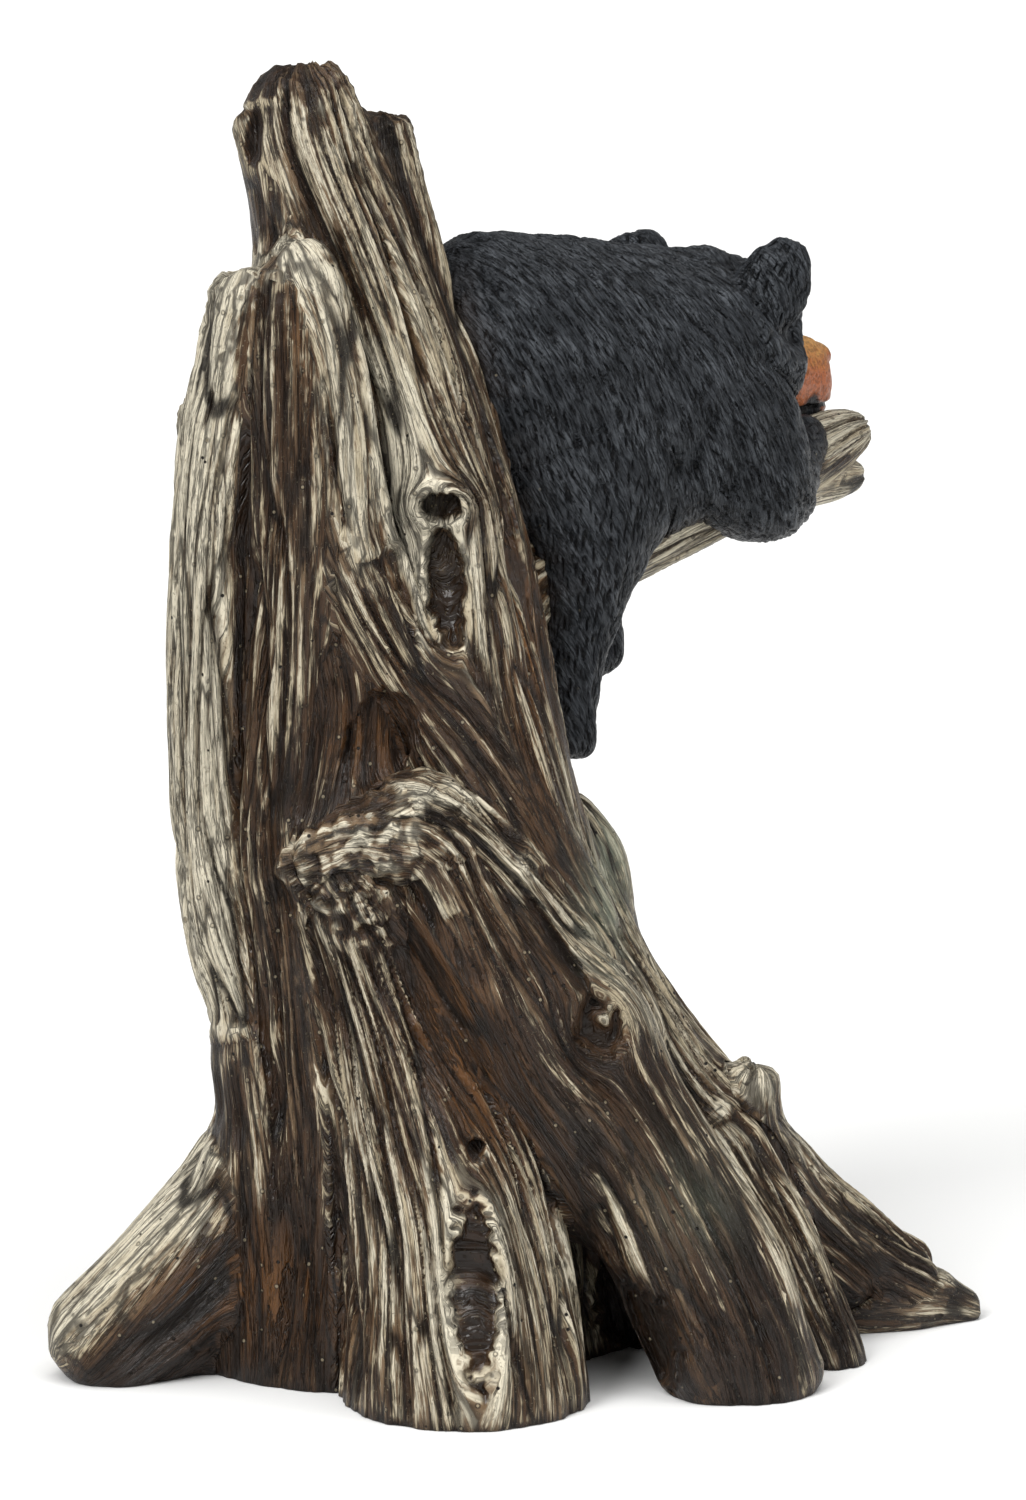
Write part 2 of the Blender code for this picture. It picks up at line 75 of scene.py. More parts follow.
# %% Stations of the wood
WOOD = {
    "core": [
        (-40, 1, 262, 11, 9), (-41, 5, 235, 20, 18), (-38, 6, 195, 29, 24), (-33, 6, 150, 33, 27),
        (-28, 6, 100, 36, 29), (-25, 4, 50, 42, 36), (-22, 2, -8, 48, 42),
    ],
    "main_spire": [
        (-48, 0, 295, 11), (-43.5, -3, 276, 13), (-29, -9, 241, 12), (-16, -13, 200, 12.5),
        (-6, -16, 154, 13), (6, -14, 111, 14), (29, -10, 70, 14), (59, 0, 33, 12), (79, 7, 14, 9),
    ],
    "spire_left_side": [(-53, -2, 289, 6), (-49, -9, 256, 7.5), (-40, -17, 214, 9), (-37, -19, 189, 9)],
    "spire_stub": [(-60, -4, 287, 3.6), (-55.5, -4, 276, 4), (-51, -4, 258, 5)],
    "second_spire": [
        (-29.5, 5, 286, 6.5), (-24, 3, 254, 8.5), (-14, 0, 224, 7.5), (-3, -2, 186, 7),
        (4, -2, 147, 7.5), (9, 2, 112, 9),
    ],
    "left_column": [
        (-61, -14, 249, 8), (-69, -18, 205, 8.2), (-71, -18, 150, 8), (-67, -19, 105, 9),
        (-54, -23, 62, 11), (-66, -26, 40, 12.5), (-82, -30, 22, 12.5), (-99, -32, 8, 10.5),
    ],
    "far_left_column": [
        (-72, 2, 221, 6.5), (-69, 4, 185, 10), (-66, 4, 120, 11), (-53, 2, 68, 12),
        (-64, 14, 34, 14), (-84, 26, 7, 11),
    ],
    "left_valley": [
        (-57, -16, 247, 6.5), (-59, -17, 230, 6.5), (-60, -14, 214, 6), (-61, -13, 150, 6),
        (-58, -16, 105, 8),
    ],
    "left_side_valley": [(-67, -7, 216, 6), (-70, -7, 150, 7), (-65, -8, 96, 8)],
    "middle_column": [
        (-49, -18, 252, 7), (-49, -20, 238, 9), (-48, -22, 189, 11), (-51, -22, 129, 10.5),
        (-44, -30, 81, 12), (-42, -35, 40, 12), (-45, -35, -8, 12),
    ],
    "thin_ridge": [(-48, -20, 257, 4.5), (-40, -25, 239, 4.5), (-35, -27, 208, 4), (-32, -27, 186, 3.5)],
    "sweeping_ridge": [(-38, -23, 196, 7), (-30, -25, 176, 9), (-10, -25, 141, 9.5), (9, -20, 105, 10)],
    "sweep_floor": [(-39, -18, 180, 9), (-36, -21, 156, 12), (-37, -24, 136, 13), (-40, -26, 116, 11)],
    "upper_rim": [
        (-24, -35, 134, 5), (-17, -37, 134.5, 5.5), (2, -33, 113, 6.5), (19, -29, 86, 10),
        (29, -31, 66, 9), (53, -38, 25, 11.5), (63, -43, 2, 10),
    ],
    "rim_crest": [(-42, -33, 125, 4.5), (-33, -36, 130, 5), (-23, -37, 134.5, 5)],
    "lower_rim": [
        (-24, -40, 125.5, 5.5), (-17, -41, 124, 6), (-2, -41, 92, 7), (21, -43, 52, 8.5), (43, -49, 6, 9),
    ],
    "lower_crest": [(-44, -35, 122, 5), (-33, -40, 126.5, 5), (-23, -41, 125.5, 5.5)],
    "buttress_floor": [
        (-24, -32, 116, 9), (-8, -35, 92, 12), (5, -37, 68, 13), (15, -37, 50, 12), (21, -34, 38, 9),
    ],
    "buttress": [
        (-19, -31, 124, 9), (8, -33, 85, 12), (32, -37, 48, 14), (48, -43, 16, 15), (54, -46, -6, 13),
    ],
    "sawn_knot": [(-36, -35, 116, 7.5), (-33, -39, 112, 8), (-30, -34, 104, 8)],
    "front_root": [
        (-37, -32, 108, 10), (-25, -40, 74, 17), (-15, -48, 40, 24), (-11, -52, 9, 28), (-11, -52, -14, 29),
    ],
    "inner_left_root": [(-58, -22, 75, 11), (-54, -26, 45, 14), (-52, -24, -8, 17)],
    "left_root_foot": [(-58, -22, 40, 14), (-77, -29, 20, 15), (-94, -34, 4, 11)],
    "right_side": [
        (-11, 8, 222, 7), (-10, 12, 200, 10), (-5, 13, 150, 12), (3, 12, 104, 13), (22, 10, 60, 20),
        (40, 6, -6, 22),
    ],
    "right_root": [
        (7, 6, 117, 9), (24, 8, 83, 11), (53, 4, 45, 11.5), (83, 11, 20, 10), (95, 15, 12, 8),
    ],
    "right_root_tongue": [(81, 12, 6, 8), (97, 16, 5, 7), (110, 20, 1.5, 4.5)],
    "right_root_knob": [(61, -2, 42, 6), (56.5, -6, 54, 5.5), (56, -7, 64.5, 7)],
    "small_root": [(48, -14, 49, 10), (61, -16, 27, 10), (72, -19, 5, 9.5), (75, -20, -5, 9)],
    "burl": [(12, 14, 124, 6), (16, 16, 115, 9.5), (18, 16, 104, 10), (14, 12, 92, 11)],
    "back_left_column": [
        (-50, 20, 236, 9), (-51, 26, 200, 14), (-48, 29, 140, 16), (-44, 35, 80, 18),
        (-50, 52, 32, 17), (-62, 74, 2, 13),
    ],
    "back_right_column": [
        (-26, 18, 226, 11), (-20, 25, 180, 15), (-12, 29, 120, 16), (4, 42, 60, 18),
        (20, 60, 22, 15), (30, 72, -2, 12),
    ],
    "right_back_root": [(6, 16, 92, 13), (32, 28, 50, 16), (56, 41, 20, 14), (74, 49, -2, 11)],
    "branch": [
        (-22, 8, 166, 16), (2, 24, 178, 13), (28, 42, 186, 10.5), (45, 54, 192, 10), (62, 69, 199, 9.5),
        (79, 85.5, 205.5, 7), (85, 90.5, 207, 4.5),
    ],
    "branch_fork": [(60, 68, 195, 6), (72, 79, 194.5, 5), (80, 86, 194.5, 4.6), (84.5, 90, 195, 3.2)],
}

# Roots that lie along the table, the point under the trunk that they spring from, and what fills
# under each: share of the way out, height, and thickness as a share of the root's end.
LYING_ROOTS = (
    "left_column", "far_left_column", "right_root", "back_left_column", "back_right_column",
    "right_back_root",
)
TRUNK_FOOT = (-24, 3)
FOOT_STEPS = ((0.3, 6, 1.5), (0.65, 6, 1.2), (0.97, 3, 0.8))
print(len(WOOD), "strands of wood,", len(LYING_ROOTS), "of them lie along the table")

# %% [markdown]
# ## The parts of the bear
# The bear lies along the branch with its chin on its paws, so it is a row of rounded limbs. The
# same kind of tube serves for them, only fatter, with a width and a height of its own at each
# station. Fur drawn along or across such a tube then wraps the limb like a real coat.

# %% Stations of the bear
BEAR = {
    "torso": [
        (-14, 19, 236, 23, 26), (2, 29, 231.5, 26, 29), (18, 40, 228.5, 26, 29), (32, 49, 225, 25, 28),
        (44, 57, 225, 21, 24),
    ],
    "belly": [(0, 26, 206, 16, 18), (22, 40, 204, 17, 18), (42, 52, 208, 15, 15)],
    "head": [
        (38, 49, 228.5, 16, 16), (46, 59, 229.5, 21, 21), (52, 70, 226, 16.5, 18),
        (57, 80, 221, 12, 12),
    ],
    "near_brow": [(57, 77, 235, 3.5), (62, 69, 236, 4), (63, 62, 234, 3.5)],
    "far_brow": [(53, 79, 235, 3.5), (46, 82, 236, 4), (41, 81, 234, 3.5)],
    "muzzle": [(54, 72, 222, 13, 12.5), (64, 85, 219, 11.5, 12), (71, 93, 218, 9.5, 12)],
    "nose": [(73, 95, 224.5, 4.8, 4), (75, 98, 224, 4.8, 3.6)],
    "near_ear": [
        (60, 55, 239.5, 9, 6.5), (62.5, 53, 246, 9.5, 6), (65, 52, 251.5, 7.5, 5),
        (66.5, 52, 255.5, 4.5, 3.3),
    ],
    "far_ear": [(33, 68, 243, 9.5, 7), (30, 71, 249, 9.5, 6.5), (28.5, 72, 254.5, 8, 5)],
    "near_arm": [
        (42, 46, 219, 17, 17), (54, 46, 207, 14, 14.5), (61, 50, 195.5, 12, 12.5), (65, 64, 199, 9, 8.5),
        (68, 73, 206, 7, 6),
    ],
    "far_arm": [
        (24, 66, 219, 15, 16), (36, 78, 207, 13, 13.5), (50, 86, 196, 11, 11), (64, 86, 202, 9, 8),
        (70, 83, 209, 7, 6),
    ],
    "near_leg": [
        (13, 32, 222, 18, 20), (18, 26, 196, 16, 16.5), (15.5, 21, 173, 11, 12), (13.5, 17, 155, 7.4, 8),
        (14, 14, 140, 6.3, 7),
    ],
    "far_leg": [
        (2, 46, 218, 18, 20), (13, 55, 194, 14, 16), (17, 53, 171, 9, 11), (21.2, 47, 155, 6, 7),
    ],
}
print(len(BEAR), "parts of the bear")

# %% [markdown]
# ## A tube that can measure
# A strand does two jobs. It adds its skin to a mesh, and later it tells any place on the finished
# surface how far it is from the skin, how far along the strand it lies and at which angle around.
# Those last two numbers are the coordinates of the grain. Only places in the strand's own box are
# measured, because most of the figure is far from any one strand.

# %% Curves and carried frames
PATH_STEP = 4.0
RING_SIDES = 20
DOME_STEPS = (40, 70)
DOME_SHARE = 0.5
REACH = 9.0
FAR_AWAY = 99.0


def smooth_path(stations):
    """Rows of numbers read from a smooth curve through the stations."""
    rows = np.array([(*row, row[3])[:5] for row in stations], float)
    padded = np.vstack([2 * rows[0] - rows[1], rows, 2 * rows[-1] - rows[-2]])
    out = []
    for before, start, end, after in zip(padded, padded[1:], padded[2:], padded[3:]):
        count = max(2, round(float(np.linalg.norm((end - start)[:3])) / PATH_STEP))
        for t in np.arange(count) / count:
            linear = (end - before) * t
            square = (2 * before - 5 * start + 4 * end - after) * t**2
            cube = (3 * start - before - 3 * end + after) * t**3
            out.append(0.5 * (2 * start + linear + square + cube))
    out.append(rows[-1])
    return np.array(out)


def carried_frames(points):
    """(tangents, sides, ups) along a path, carried from point to point without twist."""
    tangents = np.gradient(points, axis=0)
    tangents /= np.linalg.norm(tangents, axis=1)[:, None]
    up = np.array([0.0, 0.0, 1.0]) if abs(tangents[0][2]) < 0.75 else np.array([0.0, 1.0, 0.0])
    sides, ups = [], []
    for tangent in tangents:
        up = up - tangent * (up @ tangent)
        up /= np.linalg.norm(up)
        ups.append(up)
        sides.append(np.cross(tangent, up))
    return tangents, np.array(sides), np.array(ups)


print("a path has a ring of", RING_SIDES, "points about every", PATH_STEP, "mm")


# %% The strand
class Strand:
    """A tapering round form along a smooth path, which also measures places near it."""

    def __init__(self, name, number, stations):
        path = smooth_path(stations)
        self.name, self.number = name, number
        self.points, self.widths, self.heights = path[:, :3], path[:, 3], path[:, 4]
        self.size = float((self.widths.mean() + self.heights.mean()) / 2)
        self.tangents, self.sides, self.ups = carried_frames(self.points)
        steps = np.linalg.norm(np.diff(self.points, axis=0), axis=1)
        self.along = np.concatenate([[0.0], np.cumsum(steps)])

    def add_tube(self, mesh):
        """Adds the form, with domed ends, to a bmesh."""
        turns = 2 * math.pi * np.arange(RING_SIDES) / RING_SIDES
        last = len(self.points) - 1
        stops = [(0, lean, -1) for lean in reversed(DOME_STEPS)]
        stops += [(i, 0, 0) for i in range(last + 1)]
        stops += [(last, lean, 1) for lean in DOME_STEPS]
        rings = []
        for i, lean, way in stops:
            shrink, rise = math.cos(math.radians(lean)), math.sin(math.radians(lean))
            centre = self.points[i] + self.tangents[i] * way * rise * self.heights[i] * DOME_SHARE
            across = self.sides[i] * self.widths[i] * shrink
            upward = self.ups[i] * self.heights[i] * shrink
            ring = [centre + across * math.cos(a) + upward * math.sin(a) for a in turns]
            rings.append([mesh.verts.new(UNIT * corner) for corner in ring])
        for lower, upper in zip(rings, rings[1:]):
            for k in range(RING_SIDES):
                after = (k + 1) % RING_SIDES
                mesh.faces.new((lower[k], lower[after], upper[after], upper[k]))
        mesh.faces.new(rings[0][::-1])
        mesh.faces.new(rings[-1])

    def measure(self, places):
        """(numbers of the places near it, height above the skin, distance along, angle)."""
        room = max(self.widths.max(), self.heights.max()) + REACH
        low, high = self.points.min(axis=0) - room, self.points.max(axis=0) + room
        near = np.flatnonzero(((places > low) & (places < high)).all(axis=1))
        spots = places[near]
        best = np.full(len(near), np.inf)
        along, angle = np.zeros(len(near)), np.zeros(len(near))
        for i, point in enumerate(self.points):
            offset = spots - point
            run = offset @ self.tangents[i]
            side, up = offset @ self.sides[i], offset @ self.ups[i]
            spread = np.sqrt((side / self.widths[i]) ** 2 + (up / self.heights[i]) ** 2)
            height = (spread - 1) * (self.widths[i] + self.heights[i]) / 2
            past = np.abs(run)
            outside = np.hypot(height, np.maximum(past - PATH_STEP / 2, 0))
            gap = np.where(spread < 1, height + np.maximum(past - PATH_STEP, 0), outside)
            closer = gap < best
            best = np.where(closer, gap, best)
            along = np.where(closer, self.along[i] + run, along)
            angle = np.where(closer, np.arctan2(up, side), angle)
        return near, best, along, angle


def lying_part(stations):
    """Stations of the part of a root that fills down to the table."""
    end_x, end_y, _, radius = stations[-1][:4]
    out = []
    for share, height, thickness in FOOT_STEPS:
        x = TRUNK_FOOT[0] + (end_x - TRUNK_FOOT[0]) * share
        y = TRUNK_FOOT[1] + (end_y - TRUNK_FOOT[1]) * share
        out.append((x, y, height, radius * thickness))
    return out


named = dict(WOOD) | {name + "_foot": lying_part(WOOD[name]) for name in LYING_ROOTS}
wood = [Strand(name, number, stations) for number, (name, stations) in enumerate(named.items())]
bear = [Strand(name, number, stations) for number, (name, stations) in enumerate(BEAR.items())]
print("longest strand:", round(max(strand.along[-1] for strand in wood)), "mm")

# %% [markdown]
# ## Noise for the sculpting
# Blender's own noise texture lives in shaders, and here the noise has to move vertices and be
# painted in the same places. So this is a small gradient noise in numpy, the same on every run.

# %% Smooth noise
def smooth_noise(places):
    """Gradient noise between about -1 and 1 for rows of x, y, z."""
    cell = np.floor(places).astype(np.int64)
    inside = places - cell
    fade = inside**3 * (inside * (inside * 6 - 15) + 10)
    total = np.zeros(len(places))
    for corner in np.ndindex(2, 2, 2):
        at = cell + corner
        mixed = (at[:, 0] * 73856093) ^ (at[:, 1] * 19349663) ^ (at[:, 2] * 83492791)
        mixed = (mixed ^ (mixed >> 13)) * 1274126177 & 0x7FFFFFFF
        tilt = np.stack([mixed & 1023, (mixed >> 10) & 1023, (mixed >> 20) & 1023], 1) / 511.5 - 1
        weight = np.prod(np.where(np.array(corner) == 1, fade, 1 - fade), axis=1)
        total += weight * np.sum(tilt * (inside - corner), axis=1)
    return total * 1.6


def step_between(low, high, values):
    """0 below low, 1 above high and a smooth rise between them."""
    t = np.clip((values - low) / (high - low), 0, 1)
    return t * t * (3 - 2 * t)


sample = smooth_noise(np.random.default_rng(1).uniform(0, 50, (2000, 3)))
print("noise runs from", round(sample.min(), 2), "to", round(sample.max(), 2))

# %% [markdown]
# ## One skin from many tubes
# A caster's model is one lump of clay. The Remesh modifier in voxel mode does the same to the
# overlapping tubes: it keeps only the outside and welds it. A Boolean union of some forty tubes
# would be slower and would leave hard creases, while a few rounds of Smooth soften the joints here.

# %% Fusing
def tubes_object(name, strands):
    """One object that holds every form, still overlapping."""
    mesh = bmesh.new()
    for strand in strands:
        strand.add_tube(mesh)
    bmesh.ops.recalc_face_normals(mesh, faces=mesh.faces)
    data = bpy.data.meshes.new(name)
    mesh.to_mesh(data)
    mesh.free()
    obj = bpy.data.objects.new(name, data)
    bpy.context.scene.collection.objects.link(obj)
    return obj


def settle(obj):
    """Applies every modifier of an object."""
    bpy.context.view_layer.update()
    graph = bpy.context.evaluated_depsgraph_get()
    made = bpy.data.meshes.new_from_object(obj.evaluated_get(graph))
    obj.modifiers.clear()
    obj.data = made


def fuse(obj, voxel, rounds):
    """Welds overlapping forms into one skin and softens where they meet."""
    remesh = obj.modifiers.new("fuse", "REMESH")
    remesh.mode = "VOXEL"
    remesh.voxel_size = voxel * UNIT
    smooth = obj.modifiers.new("soften", "SMOOTH")
    smooth.factor = 0.5
    smooth.iterations = rounds
    settle(obj)


def skin_of(obj):
    """(places, normals) of an object's vertices, places in units."""
    count = len(obj.data.vertices)
    places, normals = np.empty(count * 3, np.float32), np.empty(count * 3, np.float32)
    obj.data.vertices.foreach_get("co", places)
    obj.data.vertices.foreach_get("normal", normals)
    return places.reshape(-1, 3).astype(float) / UNIT, normals.reshape(-1, 3).astype(float)


def put_places(obj, places):
    """Moves an object's vertices to places given in units."""
    obj.data.vertices.foreach_set("co", (places * UNIT).astype(np.float32).ravel())
    obj.data.update()


def soften(obj, places, weights, rounds):
    """Draws each vertex towards the mean of its neighbours, round by round."""
    edges = np.empty(len(obj.data.edges) * 2, np.int32)
    obj.data.edges.foreach_get("vertices", edges)
    first, second = edges.reshape(-1, 2).T
    count = len(places)
    neighbours = np.bincount(first, minlength=count) + np.bincount(second, minlength=count)
    for _ in range(rounds):
        mean = np.stack([
            np.bincount(first, places[second, axis], count) + np.bincount(second, places[first, axis], count)
            for axis in range(3)
        ], 1) / neighbours[:, None]
        places = places + (mean - places) * weights[:, None]
    return places


STUMP_VOXEL, STUMP_SOFTENING = 0.7, 12
BEAR_VOXEL, BEAR_SOFTENING = 0.62, 10
stump = tubes_object("stump", wood)
fuse(stump, STUMP_VOXEL, STUMP_SOFTENING)
print("stump skin:", len(stump.data.vertices), "vertices")
sleeper = tubes_object("bear", bear)
fuse(sleeper, BEAR_VOXEL, BEAR_SOFTENING)
print("bear skin:", len(sleeper.data.vertices), "vertices")

# %% [markdown]
# ## Knots that the grain flows around
# Where a branch grew, the fibres part and close again, as water does round a post. The formula for
# water does it here too: near a knot, a place is looked up further from the knot's middle than it
# is, so every groove and streak that is drawn later bends around it by itself. Each knot is x, z,
# half width, half length, lean in degrees and depth, seen from the front.

# %% Knots
KNOTS = {
    "upper_knot": (-16.5, 201.5, 4.8, 3.6, 0, 5.5),
    "upper_knot_slot": (-15.3, 184.5, 4.4, 14, 5, 4.5),
    "under_sweep": (-30, 150, 8, 12, -25, 2.5),
    "knot_hole": (19.8, 84.5, 5.2, 6.8, 25, 5),
    "knot_trench": (11, 102, 1.6, 15, 33, 2.6),
    "beside_stub": (-10, 104, 3.5, 9, 25, 1.2),
    "front_root_knot": (-8.5, 30, 5.6, 19, 3, 3.8),
    "front_root_pit": (-8.5, 60, 2.0, 2.5, 0, 3),
    "stub_hollow": (-59, 285, 1.8, 6, -6, 3),
    "root_arch": (29, 12, 9, 14, 10, 6),
}
KNOBS = {
    "upper_knot_ledge": (-16.4, 198.0, 3.6, 1.0, 6, 3.4),
    "slot_border": (-21.3, 183, 1.3, 14, 3, 1.5),
    "hole_knob": (21.2, 86.8, 2.6, 2.8, 25, 4.4),
    "rim_knot": (2.5, 121, 3.2, 4.0, 45, 2.4),
    "root_hollow_lump": (-8.5, 26, 2.0, 6, 10, 1.6),
}
# How strongly a knot's hollow is darkened with wash and painted shade, where not fully.
LIGHTER_HOLLOWS = {"under_sweep": 0.5, "upper_knot_slot": 0.85, "front_root_knot": 0.8, "beside_stub": 0.3}
FLOW_KNOTS = ("upper_knot", "upper_knot_slot", "knot_hole", "front_root_knot")
FLOW_SIZE = 1.25
KNOT_EDGE = (0.72, 1.12)
KNOT_RAGGEDNESS, KNOB_RAGGEDNESS, KNOT_CHIP = 0.22, 0.8, 2.6
LIP_SHARE, LIP_PLACE, LIP_WIDTH = 0.16, 1.4, 0.3


def around_knot(knot, places):
    """(across, down, distance) of places from a knot, in shares of its half width and length."""
    x, z, width, length, lean, _ = knot
    turn = math.radians(lean)
    right, up = places[:, 0] - x, places[:, 2] - z
    across = (right * math.cos(turn) + up * math.sin(turn)) / width
    down = (up * math.cos(turn) - right * math.sin(turn)) / length
    return across, down, np.hypot(across, down)


def front_facing(places, normals):
    """How far each place belongs to the front of the wood, from 0 to 1."""
    return np.clip((-normals[:, 1] - 0.05) / 0.4, 0, 1) * (places[:, 1] < 0)


def flow_around_knots(places, normals):
    """Places as the grain sees them, pushed aside where it parts around a knot."""
    seen = places.copy()
    front = front_facing(places, normals)
    for name in FLOW_KNOTS:
        knot = KNOTS[name]
        across, _, away = around_knot(knot, places)
        ratio = np.maximum(away / FLOW_SIZE, 1.0)
        push = -across * knot[2] / ratio**2 * front
        turn = math.radians(knot[4])
        seen[:, 0] += push * math.cos(turn)
        seen[:, 2] += push * math.sin(turn)
    return seen


def knot_depth(knot, places, chips):
    """1 inside a knot's hollow and 0 outside, with a chipped edge."""
    away = around_knot(knot, places)[2] * (1 + KNOT_RAGGEDNESS * chips)
    return 1 - step_between(*KNOT_EDGE, away)


def knot_push(places, normals):
    """How far each place of the front is pushed in, or lifted at a knot's lip and its knobs."""
    push = np.zeros(len(places))
    chips = smooth_noise(places / KNOT_CHIP)
    for knot in KNOTS.values():
        away = around_knot(knot, places)[2]
        lip = np.exp(-(((away - LIP_PLACE) / LIP_WIDTH) ** 2))
        push += knot[5] * (knot_depth(knot, places, chips) - LIP_SHARE * lip)
    for knob in KNOBS.values():
        push -= knob[5] * (1 + KNOB_RAGGEDNESS * chips) * np.exp(-(around_knot(knob, places)[2] ** 2))
    return push * front_facing(places, normals)


print(len(KNOTS), "knots, the grain flows around", len(FLOW_KNOTS))

# %% [markdown]
# ## Reading the grain off the strands
# Every vertex belongs mostly to its nearest strand, and near a joint to two. Heights are blended
# between strands, so that no step shows, but each face needs one owner for the direction of the
# painted streaks. The height above the second strand tells how deep in a valley a place lies,
# which is where stain gathers.

# %% Grain of a skin
BLEND_WIDTH = 1.2
STRAND_SHIFT = 7.3
WOOD_FILL, COAT_FILL = (3.6, 4.0), (6.5, 5.5)
WANDER_LENGTH, WANDER_WIDTH, WANDER = 42.0, 16.0, 1.7


class Grain:
    """Grain coordinates of every vertex of a skin, strand by strand."""

    def __init__(self, places, normals, strands, most_fill):
        self.count = len(places)
        self.fillet, self.most = most_fill
        self.first = np.full(self.count, FAR_AWAY)
        self.second = np.full(self.count, FAR_AWAY)
        self.weights = np.zeros(self.count)
        self.crowd = np.zeros(self.count)
        self.parts = []
        seen = flow_around_knots(places, normals)
        for strand in strands:
            near, gap, along, angle = strand.measure(seen)
            nearer = gap < self.first[near]
            runner_up = np.where(nearer, self.first[near], np.minimum(self.second[near], gap))
            self.second[near] = runner_up
            self.first[near] = np.minimum(self.first[near], gap)
            weight = np.exp(-np.clip(gap / BLEND_WIDTH, -5, 25))
            self.weights[near] += weight
            self.crowd[near] += np.exp(-np.maximum(gap, 0) / self.fillet)
            spots = np.stack([along, np.cos(angle) * strand.size, np.sin(angle) * strand.size], 1)
            drift = spots / (WANDER_LENGTH, WANDER_WIDTH, WANDER_WIDTH) + strand.number * STRAND_SHIFT
            spots[:, 1] += WANDER * smooth_noise(drift)
            spots[:, 2] += WANDER * smooth_noise(drift + 31.7)
            spots += strand.number * 10 * STRAND_SHIFT
            self.parts.append((strand, near, weight, spots))

    def blend(self, rule):
        """rule(strand, spots) at every vertex, shared between the strands that meet there."""
        total = np.zeros(self.count)
        for strand, near, weight, spots in self.parts:
            total[near] += weight * rule(strand, spots)
        return total / np.maximum(self.weights, 1e-12)

    def by_strand(self, number):
        """number(strand) at every vertex, shared between the strands that meet there."""
        return self.blend(lambda strand, spots: np.full(len(spots), number(strand)))

    def fill(self):
        """How far to lift each vertex so that the valleys between strands are rounded out."""
        return np.minimum(self.fillet * np.log(np.maximum(self.crowd, 1.0)), self.most)

    def marks(self, length, width, offset=0.0):
        """Noise whose cells are that long along the grain and that wide across it."""
        scale = np.array([length, width, width])
        return self.blend(lambda strand, spots: smooth_noise(spots / scale + offset))

    def corners(self, mesh):
        """Grain coordinates for each corner of a mesh, of one strand per face."""
        loops = np.empty(len(mesh.loops), np.int32)
        mesh.loops.foreach_get("vertex_index", loops)
        faces = loops.reshape(-1, 3)
        best = np.full(len(faces), -1.0)
        out = np.zeros((len(faces), 3, 3))
        weight_at, spot_at = np.zeros(self.count), np.zeros((self.count, 3))
        for _, near, weight, spots in self.parts:
            weight_at[near], spot_at[near] = weight, spots
            shared = weight_at[faces].min(axis=1)
            wins = shared > best
            best[wins] = shared[wins]
            out[wins] = spot_at[faces[wins]]
            weight_at[near] = 0
        return out.reshape(-1, 3)


VALLEY_EDGES = (0.5, 5.0)
VALLEY_SOFTENING, VALLEY_ROUNDS = 0.6, 12
places, normals = skin_of(stump)
grain = Grain(places, normals, wood, WOOD_FILL)
places = places + normals * grain.fill()[:, None]
in_valley = 1 - step_between(*VALLEY_EDGES, grain.second)
put_places(stump, soften(stump, places, VALLEY_SOFTENING * in_valley, VALLEY_ROUNDS))
places, normals = skin_of(stump)
print("vertices in a valley between strands:", int((grain.second < 2).sum()))

# %% [markdown]
# ## Carving the weathered wood
# Four sizes of mark make old driftwood: a few deep cracks, plates where harder rings stand proud
# of rotted ones, narrow grooves between thin ridges, and fine striations all over. Each is noise
# stretched along the grain. A crack or a groove is where a noise crosses zero, so it is a line; a
# plate is where another is above zero, so it has a sharp edge. A Displace modifier's noise can't
# bend with the grain, so numpy moves the vertices along their normals instead.

# %% Marks of weather
CRACK = dict(length=75.0, width=10.0, depth=2.4, sharpness=0.13)
PLATE = dict(length=55.0, width=6.5, height=0.9, edge=0.12)
RIDGE = dict(length=44.0, width=2.9, depth=0.95, sharpness=0.2)
STRIATION = dict(length=12.0, width=1.6, height=0.35)
FULL_DEPTH_RADIUS = 11.0
SMOOTHER = {
    "branch": 0.4, "branch_fork": 0.4, "sweep_floor": 0.6, "buttress_floor": 0.35, "burl": 0.4,
    "right_root_tongue": 0.5,
}
FOOT_HEIGHT, FOOT_CARVING = 18.0, 0.25
RINGED = {"sawn_knot": (-33.5, 112, 7.5, 6, 0, 0.8), "knot_hole": (19.8, 84.5, 8, 10, 25, 0.35)}
RINGS_PER_KNOT, RING_LINE, RING_DEPTH = 4.5, 0.35, 0.7
BROKEN = (
    "core", "main_spire", "spire_left_side", "spire_stub", "second_spire", "left_column", "left_valley",
    "far_left_column", "middle_column", "thin_ridge", "back_left_column", "back_right_column",
    "right_side", "right_root_knob", "upper_rim", "lower_rim",
)
RAGGED = ("rim_crest", "lower_crest", "sawn_knot")
TORN_LENGTH = 7.0


def near_break(grain):
    """1 at a strand's broken upper end, fading to 0 down its side."""

    def ending(strand, spots):
        from_end = spots[:, 0] - strand.number * 10 * STRAND_SHIFT
        ending = np.exp(-np.clip(from_end / TORN_LENGTH, 0, 9)) * (strand.name in BROKEN)
        return ending + (strand.name in RAGGED)

    return grain.blend(ending)


def weather(grain):
    """The fields of the carving at every vertex; the paint uses the first three again."""
    crack = np.exp(-((grain.marks(CRACK["length"], CRACK["width"]) / CRACK["sharpness"]) ** 2))
    plate = grain.marks(PLATE["length"], PLATE["width"], 5.1)
    ridge = grain.marks(RIDGE["length"], RIDGE["width"], 9.4)
    striation = grain.marks(STRIATION["length"], STRIATION["width"], 2.6)
    return crack, plate, ridge, striation


